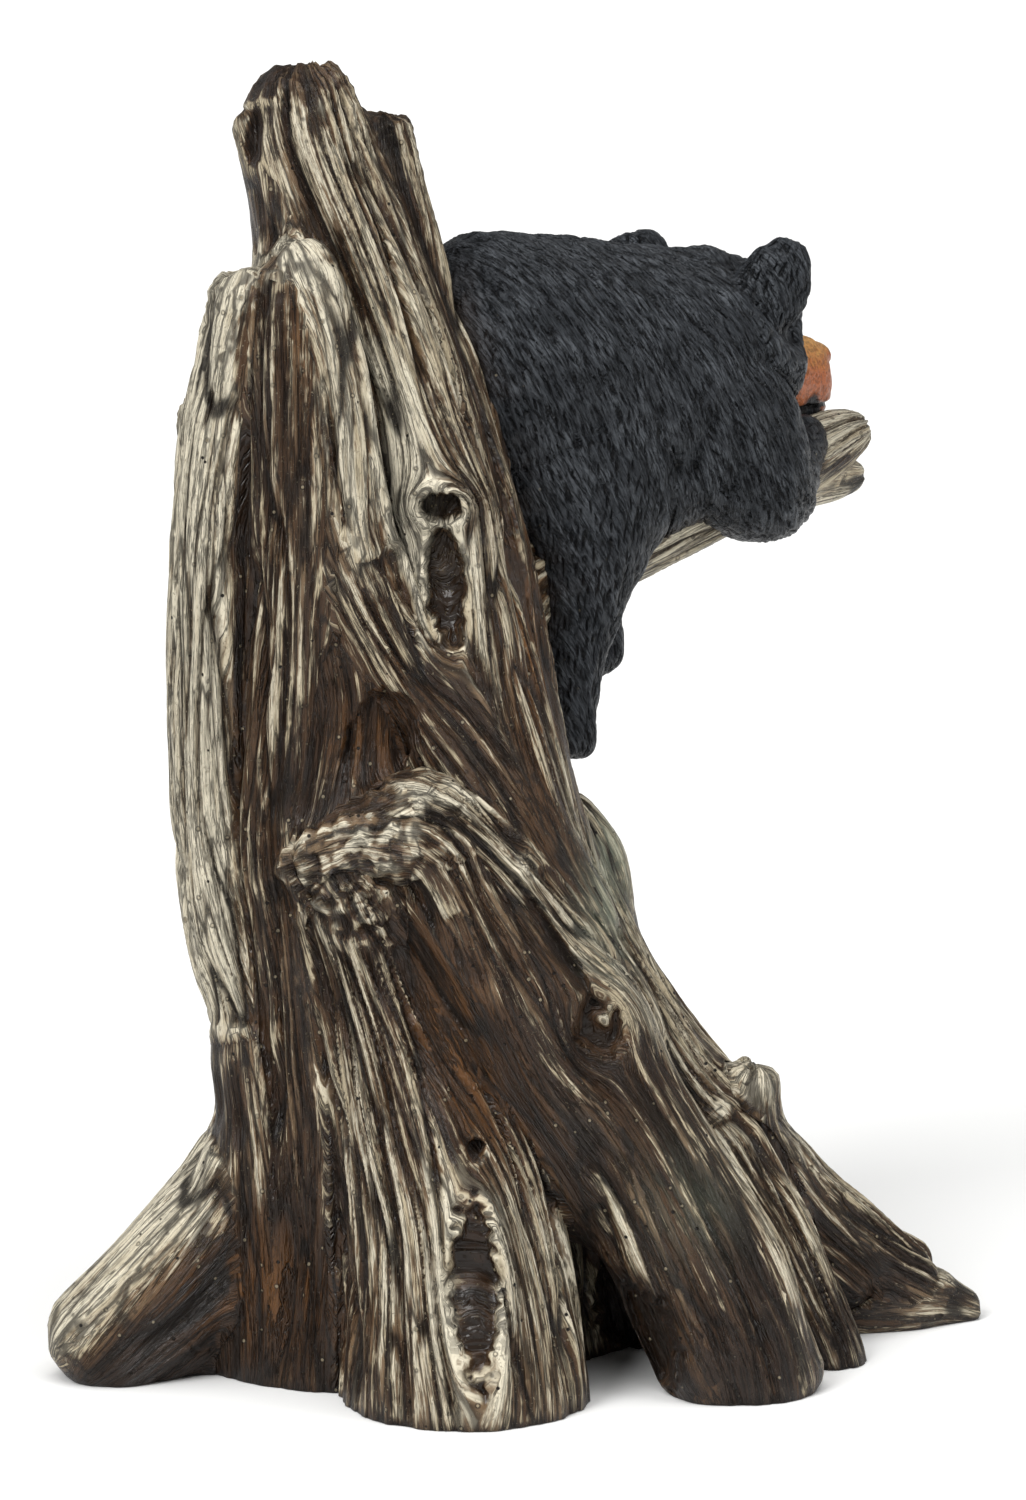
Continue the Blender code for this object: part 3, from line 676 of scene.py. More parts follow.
def carved_height(grain, fields):
    """How far the weather lifts or sinks each vertex, in units."""
    crack, plate, ridge, striation = fields
    thin = grain.by_strand(lambda strand: min(1.0, strand.size / FULL_DEPTH_RADIUS))
    calm = (1 - 0.75 * (1 - step_between(0.5, 4.0, grain.second))) * (1 - 0.5 * near_break(grain))
    calm *= grain.by_strand(lambda strand: SMOOTHER.get(strand.name, 1.0))
    height = -CRACK["depth"] * crack * thin
    height += PLATE["height"] * (step_between(-PLATE["edge"], PLATE["edge"], plate) - 0.5) * thin
    height -= RIDGE["depth"] * np.exp(-((ridge / RIDGE["sharpness"]) ** 2)) * np.sqrt(thin)
    return (height + STRIATION["height"] * striation) * calm


def ring_lines(places, normals):
    """Year rings round a knot: 1 on a ring's dark line, fading out from the knot."""
    lines = np.zeros(len(places))
    wobble = 0.12 * smooth_noise(places / 4.0 + 6.6)
    for knot in RINGED.values():
        away = around_knot(knot, places)[2] + wobble
        line = np.exp(-((np.sin(math.pi * away * RINGS_PER_KNOT) / RING_LINE) ** 2))
        lines = np.maximum(lines, knot[5] * line * (1 - step_between(0.8, 1.15, away)))
    return lines * front_facing(places, normals)


above_foot = step_between(0, FOOT_HEIGHT, places[:, 2])
height = carved_height(grain, weather(grain)) * (FOOT_CARVING + (1 - FOOT_CARVING) * above_foot)
height -= RING_DEPTH * ring_lines(places, normals)
places += normals * height[:, None]
places[:, 1] += knot_push(places, normals)
print("carving runs from", round(height.min(), 1), "to", round(height.max(), 1), "mm")

# %% [markdown]
# ## Broken tops
# The spires and columns ended where the trunk snapped. Such a break is a rough face with torn
# fibres round its rim. The faces that look up near a strand's upper end are lifted and sunk by a
# coarse and a fine noise. The sides just below them get lumps, and so do the crests of the two
# rims and the sawn knot.

# %% Torn ends
SPLINTER_SIZE, CHIP_SIZE = (4.2, 4.2, 9), 1.9
SPLINTER_HEIGHT, CHIP_HEIGHT = 1.6, 0.9
LUMP_SIZE, LUMP_HEIGHT, LUMP_CHIP_HEIGHT = 3.4, 1.7, 1.2
TORN_SIDE_SHARE = 0.55
torn = near_break(grain)
facing_up = step_between(0.25, 0.8, normals[:, 2])
splinters = SPLINTER_HEIGHT * smooth_noise(places / SPLINTER_SIZE)
splinters += CHIP_HEIGHT * smooth_noise(places / CHIP_SIZE + 4.4)
places[:, 2] += splinters * torn * facing_up
lumpy = grain.by_strand(lambda strand: float(strand.name in RAGGED))
lumps = LUMP_HEIGHT * smooth_noise(places / LUMP_SIZE + 8.8)
lumps += LUMP_CHIP_HEIGHT * smooth_noise(places / CHIP_SIZE)
on_side = TORN_SIDE_SHARE * torn * (1 - facing_up)
places += normals * (lumps * np.minimum(lumpy + on_side, 1))[:, None]
put_places(stump, soften(stump, places, 0.5 * in_valley, 5))
print("vertices on torn wood:", int((torn > 0.5).sum()))

# %% [markdown]
# ## Flat underside and fewer faces
# The casting stands on the cut ends of its roots, so all that reaches below the table is cut off
# with one plane, and the cut is closed.
# The Decimate modifier then spends the faces where the surface bends and saves them where it is
# smooth, so that the piece stays light enough to share.

# %% Cutting and thinning
MOST_TRIANGLES = 198000


def cut_flat(figure):
    """Cuts the roots off level at the table."""
    mesh = bmesh.new()
    mesh.from_mesh(figure.data)
    everything = [*mesh.verts, *mesh.edges, *mesh.faces]
    cut = bmesh.ops.bisect_plane(
        mesh, geom=everything, plane_co=(0, 0, 0), plane_no=(0, 0, 1), clear_inner=True
    )
    rim = [item for item in cut["geom_cut"] if isinstance(item, bmesh.types.BMEdge)]
    bmesh.ops.edgenet_fill(mesh, edges=rim)
    bmesh.ops.triangulate(mesh, faces=mesh.faces)
    mesh.to_mesh(figure.data)
    mesh.free()


def thin_out(figure, most):
    """Keeps at most that many triangles."""
    triangles = len(figure.data.polygons)
    if triangles > most:
        fewer = figure.modifiers.new("fewer_faces", "DECIMATE")
        fewer.ratio = most / triangles
        settle(figure)


cut_flat(stump)
before = len(stump.data.polygons)
thin_out(stump, MOST_TRIANGLES)
print("stump:", before, "triangles thinned to", len(stump.data.polygons))

# %% [markdown]
# ## Paint marks on the wood
# A painter works with the shape: stain sinks into cracks and valleys, and the dry brush catches the plates
# and crests; the darkness of the deeper valleys and hollows is partly painted shade. So the same fields that
# carved the wood are stored on the mesh for the material. Most strands also have a tone of their own, and
# soft spots put light and dark where the photo shows them; the dark spots on the lower flanks of the roots
# and in the cavity under the right root are painted shadow. A spot is x, z, half width, half length, lean in
# degrees and amount.

# %% Tones and spots
TONES = {
    "core": -0.3, "main_spire": -0.1, "spire_left_side": -0.1, "spire_stub": -0.3, "second_spire": -0.25,
    "left_column": 1.45, "far_left_column": 0.35, "left_valley": -0.9, "left_side_valley": -0.4,
    "middle_column": -0.6, "thin_ridge": 0.8, "sweeping_ridge": -0.5, "upper_rim": 0.1,
    "lower_rim": -0.1, "buttress_floor": -1.4, "buttress": -1.2, "sawn_knot": 0.1,
    "inner_left_root": -0.5, "sweep_floor": -0.7, "right_side": -0.3, "right_root": 0.05,
    "right_root_tongue": 0.2, "right_root_knob": 0.4, "small_root": -0.15, "branch": 0.8,
    "branch_fork": 0.8,
}
SPOTS = {
    "knot_lips": (-24, 208, 7.5, 28, 12, 3.6), "right_border": (-10, 189, 3, 20, 5, 0.8),
    "left_column_face": (-71, 185, 7, 50, 0, 0.45), "slab_rim": (-51, 256, 14, 5, -10, 0.8),
    "slab_face": (-56, 238, 13, 13, 0, 0.2), "thin_ridge_face": (-36, 201, 3, 22, 5, 0.8),
    "rim_edge": (-20, 138, 13, 3, -10, 1.4), "lower_rim_edge": (-30, 130, 14, 2.6, 8, 1.4),
    "rim_slope": (2, 116, 3, 22, 50, 0.2), "rim_slope_low": (20, 94, 4, 18, 45, 0.5),
    "root_knot": (-9, 32, 9.5, 23, 3, 3.4), "front_root_left": (-27, 28, 8, 22, 0, 0.35),
    "front_root_right": (11, 29, 4, 20, 0, 0.35), "branch_tip": (79, 200, 14, 12, 0, 0.3),
    "left_root_top": (-84, 40, 22, 8, 48, 0.5), "knob": (57, 62, 8, 7, 0, 0.7),
    "spire_right": (-34, 245, 5, 28, 20, 0.3), "striations": (-26, 172, 8, 14, 40, 0.1),
    "left_low": (-72, 110, 5, 25, 0, 0.3), "below_burl": (34, 80, 6, 16, 45, 0.5),
    "deep_groove": (-62, 186, 3.2, 40, 0, -1.4), "recess": (-33, 212, 3.5, 30, 8, -0.9),
    "slot": (-15, 183, 3.5, 13, 6, -1.3), "triangle": (-29, 153, 12, 11, -20, -1.3),
    # The dark spots left_flank, left_root_low_shade, right_cavity_shade, right_flank_shade and
    # stub_flank_shade are painted shadow.
    "buttress_hollow": (-17, 88, 12, 26, 18, -0.8), "left_flank": (-65, 21, 24, 17, 12, -2.4),
    "left_root_low_shade": (-84, 6, 18, 8, 25, -2.2), "right_cavity_shade": (29, 14, 10, 16, 0, -1.2),
    "valley": (53, 30, 6, 16, 35, -0.8), "bear_strip": (4, 172, 4, 40, 5, -0.6),
    "fork_crease": (80, 200, 1.4, 12, -72, -1.8), "broken_end": (-48, 297, 14, 4, 0, -0.9),
    "stub_hollow": (-59, 284, 3, 7, 0, -0.8), "root_hollow": (-8.5, 30, 3.8, 16, 3, -6.0),
    "below_sawn": (-38, 92, 7, 20, 5, -0.4), "dark_slope": (-11, 78, 14, 26, 28, -1.3),
    "right_flank_shade": (88, 16, 24, 9, 28, -1.2), "stub_flank_shade": (46, 8, 14, 9, 10, -0.8),
}
AMBER = {
    "bear_strip": (4, 175, 5, 45, 5, 1.0), "recess": (-33, 212, 4, 32, 8, 0.8),
    "left_flank": (-60, 22, 22, 14, 0, 0.7), "triangle": (-29, 150, 13, 12, -20, 0.6),
    "buttress_hollow": (-12, 80, 12, 26, 18, 0.6), "spire_foot": (-44, 240, 8, 12, 20, 0.6),
}
GREEN = {"burl": (23, 112, 6, 14, 0, 0.6), "buttress_foot": (40, 45, 10, 12, 30, 0.12)}
print(len(TONES), "strands with a tone of their own,", len(SPOTS), "spots")

# %% Spots, hollows and stored fields
HOLLOW_SOFTENING = 0.7
FINE_ROUNDS, WIDE_ROUNDS = 4, 40


def sum_of_spots(spots, places, normals):
    """The amounts of all soft spots at places on the front."""
    total = np.zeros(len(places))
    for spot in spots.values():
        total += spot[5] * np.exp(-(around_knot(spot, places)[2] ** 2) * 1.1)
    return total * np.clip((-normals[:, 1] + 0.25) / 0.5, 0, 1)


def hollowness(obj, places, normals, rounds):
    """How far each place lies below the mean of its surroundings, in units."""
    around = soften(obj, places, np.full(len(places), HOLLOW_SOFTENING), rounds)
    return np.sum((around - places) * normals, axis=1)


def store(mesh, name, values, domain="POINT"):
    """Keeps one number or one vector for each vertex or corner."""
    kind = "FLOAT_VECTOR" if values.ndim == 2 else "FLOAT"
    layer = mesh.attributes.new(name, kind, domain)
    layer.data.foreach_set("vector" if values.ndim == 2 else "value", values.astype(np.float32).ravel())


places, normals = skin_of(stump)
close = hollowness(stump, places, normals, FINE_ROUNDS)
wide_hollow = hollowness(stump, places, normals, WIDE_ROUNDS)
print("deepest hollow:", round(wide_hollow.max(), 1), "mm")

# %% Light and dark of the wood
# Painted shade low on the stump: lighter where the wood faces up, darker where it faces down and by the
# table.
FACING_SHADE_SHARE, FACING_SHADE_MIDDLE = 1.3, 0.2
LOW_DOWN, AT_TABLE = (35, 95), (0, 16)
TABLE_SHADE, DRIFT_SHARE, DRIFT_SIZE = 0.3, 0.5, (90, 14)
CREST_LIGHT, GROOVE_DARK, CLOSE_EDGES = 0.75, 0.55, (0.05, 0.4)
RIM_LIGHT = 0.9
grain = Grain(places, normals, wood, WOOD_FILL)
crack, plate, ridge, _ = weather(grain)
tone = grain.by_strand(lambda strand: TONES.get(strand.name, 0.0))
tone += sum_of_spots(SPOTS, places, normals)
tone += DRIFT_SHARE * grain.marks(*DRIFT_SIZE, 7.7)
low_down = 1 - step_between(*LOW_DOWN, places[:, 2])
# Painted shade: lighter where the wood faces up, darker where it faces down.
tone += FACING_SHADE_SHARE * (normals[:, 2] - FACING_SHADE_MIDDLE) * low_down
# Painted shade on the wood nearest the table.
tone -= TABLE_SHADE * (1 - step_between(*AT_TABLE, places[:, 2]))
tone += CREST_LIGHT * step_between(*CLOSE_EDGES, -close) - GROOVE_DARK * step_between(*CLOSE_EDGES, close)
torn = near_break(grain)
facing_up = step_between(0.2, 0.7, normals[:, 2])
rim = torn * (1 - facing_up) * step_between(-0.1, 0.5, smooth_noise(places / LUMP_SIZE + 8.8))
tone += RIM_LIGHT * rim
torn = torn * facing_up
print("tone runs from", round(tone.min(), 2), "to", round(tone.max(), 2))

# %% Dark hollows, partly painted shade, and what the stump's mesh keeps for its paint
# Broad hollows and the knots' hollows are darkened, partly as pooled stain and wash and partly as painted
# shade.
valley = step_between(0.4, 2.2, wide_hollow)
hollow = np.zeros(len(places))
chips = smooth_noise(places / KNOT_CHIP)
for name, knot in KNOTS.items():
    hollow = np.maximum(hollow, LIGHTER_HOLLOWS.get(name, 1.0) * knot_depth(knot, places, chips))
for knob in KNOBS.values():
    hollow *= 1 - np.exp(-(around_knot(knob, places)[2] ** 2) * 1.5)
    tone += np.exp(-(around_knot(knob, places)[2] ** 2)) * front_facing(places, normals)
hollow *= front_facing(places, normals)
store(stump.data, "grain", grain.corners(stump.data), "CORNER")
store(stump.data, "crack", np.maximum(crack, ring_lines(places, normals)))
store(stump.data, "plate", plate)
store(stump.data, "ridge", ridge)
store(stump.data, "tone", tone)
store(stump.data, "valley", np.maximum(valley, hollow))
store(stump.data, "pressed", step_between(0.02, 0.3, close))
store(stump.data, "torn", torn)
store(stump.data, "amber", sum_of_spots(AMBER, places, normals))
store(stump.data, "green", sum_of_spots(GREEN, places, normals))
print("fields on the stump:", [layer.name for layer in stump.data.attributes if layer.name[0] != "."])

# %% [markdown]
# ## The bear's coat
# On the real casting the fur was scratched into clay, stroke by stroke, so each hair lock is a
# short groove with pointed ends. Noise would give fur without strokes. So some thousands of
# strokes are pressed in one by one: each has a middle, a direction and a length, and sinks the
# vertices under it. Hair hangs down the flanks, a little towards the head, and lies along the
# legs, the arms and the ears; on the head the strokes are short and less orderly.

# %% Directions of the hair
BODY_AXIS = np.array([0.79, 0.61, 0.0])
ALONG_LIMB = {
    "near_ear": 1.0, "far_ear": 1.0, "near_leg": 0.75, "far_leg": 0.75, "near_arm": 0.5,
    "far_arm": 0.5,
}
HEAD_PARTS = ("head", "near_brow", "far_brow", "muzzle")


def coat_of(places, strands):
    """(part that each place belongs to, tangent there, smallest height over each part)."""
    best = np.full(len(places), FAR_AWAY)
    owner = np.zeros(len(places), int)
    tangent = np.zeros((len(places), 3))
    gaps = {}
    for number, strand in enumerate(strands):
        near, gap, along, _ = strand.measure(places)
        full = np.full(len(places), FAR_AWAY)
        full[near] = gap
        gaps[strand.name] = full
        wins = near[gap < best[near]]
        best[wins] = full[wins]
        owner[wins] = number
        at = np.full(len(places), -1.0)
        at[near] = along
        index = np.clip(np.searchsorted(strand.along, at[wins]), 0, len(strand.along) - 1)
        tangent[wins] = strand.tangents[index]
    return owner, tangent, gaps


def hair_directions(places, normals, owner, tangent):
    """Unit directions in which the hair lies, in the surface."""
    out = np.tile(0.5 * BODY_AXIS + (0, 0, -1), (len(places), 1))
    for number, strand in enumerate(bear):
        mine = owner == number
        if strand.name in ALONG_LIMB:
            share = ALONG_LIMB[strand.name]
            out[mine] = (1 - share) * out[mine] + share * tangent[mine]
        if strand.name in HEAD_PARTS:
            out[mine] = -0.7 * BODY_AXIS + (0, 0, -0.7)
    out -= normals * np.sum(out * normals, axis=1)[:, None]
    return out / np.maximum(np.linalg.norm(out, axis=1), 1e-6)[:, None]


print("parts with hair along them:", len(ALONG_LIMB))

# %% Rounding the body before the fur
DELICATE = ("muzzle", "nose", "near_ear", "far_ear")
LEAST_SOFTENING, BODY_SOFTENING, COAT_ROUNDS = 0.1, 0.5, 40
places, normals = skin_of(sleeper)
gaps = coat_of(places, bear)[2]
sturdy = step_between(1, 7, np.minimum.reduce([gaps[name] for name in DELICATE]))
filled = places + normals * (sturdy * Grain(places, normals, bear, COAT_FILL).fill())[:, None]
put_places(sleeper, soften(sleeper, filled, LEAST_SOFTENING + BODY_SOFTENING * sturdy, COAT_ROUNDS))
places, normals = skin_of(sleeper)
owner, tangent, gaps = coat_of(places, bear)
lie = hair_directions(places, normals, owner, tangent)
print("places on the torso:", int((owner == 0).sum()))

# %% Strokes pressed into the coat
STROKES, COVERED = 12000, 0.4
STROKE_WIDTH, STROKE_DEPTH = 0.55, 0.7
STROKE_LENGTH, HEAD_STROKE_LENGTH = 4.0, 2.4
SCRUFF, HEAD_SCRUFF, STROKE_BEND = 0.14, 0.35, 0.25
rng = np.random.default_rng(11)


def press_strokes(places, normals, lie, on_head, bare):
    """How deep each vertex lies in a stroke, from 0 to 1."""
    tree = KDTree(len(places))
    for number, place in enumerate(places):
        tree.insert(place, number)
    tree.balance()
    depth = np.zeros(len(places))
    for start in rng.integers(0, len(places), STROKES):
        if bare[start] > 0.5 or depth[start] > COVERED:
            continue
        half = HEAD_STROKE_LENGTH if on_head[start] else STROKE_LENGTH
        half *= rng.uniform(0.6, 1.25)
        turn = rng.normal(0, HEAD_SCRUFF if on_head[start] else SCRUFF)
        across = np.cross(normals[start], lie[start])
        way = lie[start] * math.cos(turn) + across * math.sin(turn)
        across = np.cross(normals[start], way)
        found = np.array([number for _, number, _ in tree.find_range(Vector(places[start]), half)])
        offset = places[found] - places[start]
        run = offset @ way / half
        bend = rng.normal(0, STROKE_BEND)
        side = (offset @ across - bend * run**2 * 2) / (STROKE_WIDTH * rng.uniform(0.8, 1.2))
        mark = np.exp(-(side**2)) * np.clip(1 - run**2, 0, 1) * rng.uniform(0.5, 1.0)
        depth[found] = np.maximum(depth[found], mark)
    return depth


bare = np.where(gaps["nose"] < 0.3, 1.0, 0.0)
on_head = np.isin(owner, [number for number, strand in enumerate(bear) if strand.name in HEAD_PARTS])
stroke = press_strokes(places, normals, lie, on_head, bare)
print("mean depth under the strokes:", round(float(stroke.mean()) * STROKE_DEPTH, 2), "mm")

# %% [markdown]
# ## The sleeping face
# The face shows only from the far side, so it is kept plain: closed eyes, a dark nose with two
# nostrils and a thin mouth line. A closed eye is a short sagging crease, pressed in much like a
# stroke. The mouth is a level line round the muzzle, and each nostril is a small pit.

# %% Creases of the face
EYES = {"near_eye": (64.5, 76, 230.5), "far_eye": (48.5, 87, 230.0)}
EYE_ACROSS = {"near_eye": (0.35, -0.94, 0), "far_eye": (-0.94, 0.2, 0)}
EYE_HALF_LENGTH, EYE_WIDTH, EYE_SAG, EYE_DEPTH = 4.2, 0.9, 1.2, 1.3
NOSTRILS = {"near_nostril": (78.7, 100.0, 223.3), "far_nostril": (74.7, 102.6, 223.3)}
NOSTRIL_SIZE, NOSTRIL_DEPTH = 1.5, 1.2
MOUTH_HEIGHT, MOUTH_WIDTH, MOUTH_DEPTH = 213.0, 0.7, 0.9


def crease(places, middle, way, half, width):
    """How deep each place lies in a short crease that sags in the middle."""
    offset = places - middle
    run = offset @ np.array(way) / half
    height = offset[:, 2] + EYE_SAG * (1 - run**2)
    return np.exp(-((height / width) ** 2)) * np.clip(1 - run**4, 0, 1) * (np.abs(run) < 1)


eye_line = np.zeros(len(places))
for name, middle in EYES.items():
    close = np.linalg.norm(places - middle, axis=1) < EYE_HALF_LENGTH + 3
    line = crease(places, middle, EYE_ACROSS[name], EYE_HALF_LENGTH, EYE_WIDTH)
    eye_line = np.maximum(eye_line, line * close)
nostril = np.zeros(len(places))
for middle in NOSTRILS.values():
    away = np.linalg.norm(places - middle, axis=1) / NOSTRIL_SIZE
    nostril = np.maximum(nostril, np.exp(-(away**2)))
on_muzzle = (gaps["muzzle"] < 0.8) & (gaps["head"] > 1.0) & (gaps["nose"] > 0.5)
mouth = np.exp(-(((places[:, 2] - MOUTH_HEIGHT) / MOUTH_WIDTH) ** 2)) * on_muzzle
print("creases:", len(EYES), "eyes, a mouth and", len(NOSTRILS), "nostrils")

# %% [markdown]
# ## Locks, and the last moves of the skin
# Over the strokes the coat has broader, softer locks. They follow axes that hang down and run along
# the body, and the same axes later carry the fine painted hairs. The bare nose gets neither.

# %% Shaping the coat
LOCK_LENGTH, LOCK_WIDTH, LOCK_HEIGHT = 13.0, 4.2, 0.6
OUTWARD_SHARE = 0.2
MUZZLE_BARENESS, SHORTEST_FUR = 0.75, 0.25
hang = np.array([*(0.5 * BODY_AXIS[:2]), -1.0]) / math.hypot(0.5, 1)
spread = np.array([*BODY_AXIS[:2], 0.5]) / math.hypot(0.5, 1)
outward = np.array([-BODY_AXIS[1], BODY_AXIS[0], 0.0])
combed = np.stack([places @ hang, places @ spread, OUTWARD_SHARE * (places @ outward)], 1)
soft_locks = LOCK_HEIGHT * smooth_noise(combed / (LOCK_LENGTH, LOCK_WIDTH, LOCK_WIDTH))
furry = 1 - np.clip(bare + (gaps["muzzle"] < 0.5) * MUZZLE_BARENESS, 0, 1)
fur_share = (SHORTEST_FUR + (1 - SHORTEST_FUR) * furry) * (1 - bare)
height = (soft_locks - STROKE_DEPTH * stroke) * fur_share - EYE_DEPTH * eye_line
height -= NOSTRIL_DEPTH * nostril + MOUTH_DEPTH * mouth
places += normals * height[:, None]
put_places(sleeper, places)
mesh = bmesh.new()
mesh.from_mesh(sleeper.data)
bmesh.ops.triangulate(mesh, faces=mesh.faces)
mesh.to_mesh(sleeper.data)
mesh.free()
print("bear:", len(sleeper.data.polygons), "triangles")

# %% [markdown]
# ## Paint marks on the bear
# The coat keeps its fields for the paint as the wood does. Only then is it thinned, because the
# Decimate modifier carries every stored field over to the vertices that stay.

# %% Paint marks on the bear
CONTACT_REACH = 3.5
places, normals = skin_of(sleeper)
pressed = step_between(0.0, 0.22, hollowness(sleeper, places, normals, FINE_ROUNDS))
wood_gap = np.full(len(places), FAR_AWAY)
for strand in wood:
    near, gap, _, _ = strand.measure(places)
    wood_gap[near] = np.minimum(wood_gap[near], gap)
head_gap = np.minimum(gaps["head"], np.minimum(gaps["near_arm"], gaps["far_arm"]))
muzzle = step_between(-1.0, 1.0, head_gap - gaps["muzzle"]) * (gaps["muzzle"] < 4)
store(sleeper.data, "stroke", stroke)
store(sleeper.data, "pressed", pressed)
store(sleeper.data, "lock", soft_locks / LOCK_HEIGHT)
store(sleeper.data, "muzzle", muzzle)
store(sleeper.data, "nose", step_between(-0.1, -1.1, gaps["nose"]))
store(sleeper.data, "eye_line", np.maximum(eye_line, np.maximum(mouth, nostril)))
store(sleeper.data, "contact", np.exp(-np.clip(wood_gap, 0, 30) / CONTACT_REACH))
store(sleeper.data, "combed", combed)
print("bear vertices near the wood:", int((wood_gap < 3).sum()))

# %% Thinning the coat
thin_out(sleeper, MOST_TRIANGLES)
print("bear: thinned to", len(sleeper.data.polygons), "triangles")

# %% [markdown]
# ## Centring
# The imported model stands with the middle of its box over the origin, so the two new pieces are
# moved together by the middle of their own box.

# %% Centring the pieces
both = np.vstack([skin_of(stump)[0], skin_of(sleeper)[0]])
middle = (both.min(axis=0) + both.max(axis=0)) / 2
frame_middle = (low_corner + high_corner) / (2 * UNIT)
shift = np.array([frame_middle.x - middle[0], frame_middle.y - middle[1], low_corner.z / UNIT])
for piece in (stump, sleeper):
    put_places(piece, skin_of(piece)[0] + shift)
    piece.data.shade_smooth()
print("shift to the packed model's middle, in mm:", shift.round(2))

# %% [markdown]
# ## Small tools for building materials
# A material is a graph of nodes. Written out link by link it is long and hard to read, so these
# helpers let an expression be written as a nested call, from the inside out. Effects that a painter
# has a word for go into node groups with named inputs, built once.

# %% Node helpers
class Tree:
    """Adds nodes to one node tree."""

    def __init__(self, tree):
        self.tree = tree

    def node(self, kind, inputs=(), **settings):
        """A node with its settings and, by name or number, what its inputs take."""
        made = self.tree.nodes.new(kind)
        for name, value in settings.items():
            setattr(made, name, value)
        for key, value in dict(inputs).items():
            self.feed(made.inputs[key], value)
        return made

    def feed(self, socket, value):
        """Links a socket to another, or gives it a plain value."""
        if isinstance(value, bpy.types.NodeSocket):
            self.tree.links.new(value, socket)
        else:
            socket.default_value = value

    def math(self, operation, *values):
        """A Math node's result."""
        return self.node("ShaderNodeMath", enumerate(values), operation=operation).outputs[0]

    def plus(self, first, second):
        """Sum of two values."""
        return self.math("ADD", first, second)

    def minus(self, first, second):
        """The first value less the second."""
        return self.math("SUBTRACT", first, second)

    def times(self, first, second):
        """Product of two values."""
        return self.math("MULTIPLY", first, second)

    def larger(self, first, second):
        """The larger of two values."""
        return self.math("MAXIMUM", first, second)

    def size(self, value):
        """A value without its sign."""
        return self.math("ABSOLUTE", value)

    def weighted(self, *parts):
        """Sum of values, each times its weight."""
        total = self.times(*parts[0])
        for value, weight in parts[1:]:
            total = self.plus(total, self.times(value, weight))
        return total

    def rise(self, value, low, high, to_low=0.0, to_high=1.0):
        """Smooth rise of a value between two limits."""
        inputs = {"Value": value, "From Min": low, "From Max": high, "To Min": to_low, "To Max": to_high}
        return self.node("ShaderNodeMapRange", inputs, interpolation_type="SMOOTHSTEP").outputs["Result"]

    def mix(self, amount, first, second):
        """Two colours mixed by an amount."""
        made = self.node("ShaderNodeMix", data_type="RGBA", clamp_factor=True)
        for key, value in ((0, amount), (6, first), (7, second)):
            self.feed(made.inputs[key], (*value, 1) if isinstance(value, tuple) else value)
        return made.outputs[2]

    def mark(self, name, output="Fac"):
        """A field stored on the mesh."""
        return self.node("ShaderNodeAttribute", attribute_name=name).outputs[output]

    def noise(self, vector, scale=1.0, detail=2.0, roughness=0.5):
        """Value of a noise texture."""
        inputs = {"Vector": vector, "Scale": scale, "Detail": detail, "Roughness": roughness}
        return self.node("ShaderNodeTexNoise", inputs).outputs["Fac"]


def new_group(name, takes, gives):
    """(group, its Tree, its inputs, the node that its results feed)."""
    group = bpy.data.node_groups.new(name, "ShaderNodeTree")
    for label, kind in takes.items():
        group.interface.new_socket(label, in_out="INPUT", socket_type=kind)
    for label, kind in gives.items():
        group.interface.new_socket(label, in_out="OUTPUT", socket_type=kind)
    tree = Tree(group)
    return group, tree, tree.node("NodeGroupInput").outputs, tree.node("NodeGroupOutput").inputs


NUMBER, VECTOR = "NodeSocketFloat", "NodeSocketVector"
print("helpers ready")

# %% [markdown]
# ## Shared effects
# Streaks are noise stretched along one axis of the grain coordinates. Dry brushing catches what
# stands above a level, with a ragged edge. Casting leaves two marks of its own: small beads of
# resin where the mould had bubbles, and pinholes.

# %% Streaks, dry brush and casting marks
def stretched(t, takes):
    """Grain coordinates divided by the length and width of a mark."""
    divisor = t.node("ShaderNodeCombineXYZ", {0: takes["Length"], 1: takes["Width"], 2: takes["Width"]})
    inputs = {0: takes["Grain"], 1: divisor.outputs[0]}
    return t.node("ShaderNodeVectorMath", inputs, operation="DIVIDE").outputs[0]


fibres, t, takes, gives = new_group(
    "fibres",
    {"Grain": VECTOR, "Length": NUMBER, "Width": NUMBER, "Line": NUMBER},
    {"Value": NUMBER, "Lines": NUMBER},
)
value = t.noise(stretched(t, takes), 1.0, 4.0, 0.62)
t.feed(gives["Value"], value)
away = t.size(t.minus(value, 0.5))
t.feed(gives["Lines"], t.rise(away, takes["Line"], 0.0))

dry_brush, t, takes, gives = new_group(
    "dry_brush",
    {"Height": NUMBER, "Streak": NUMBER, "Raggedness": NUMBER, "Softness": NUMBER},
    {"Mask": NUMBER},
)
ragged = t.times(t.minus(takes["Streak"], 0.5), takes["Raggedness"])
level = t.plus(takes["Height"], ragged)
t.feed(gives["Mask"], t.rise(level, t.times(takes["Softness"], -1.0), takes["Softness"]))

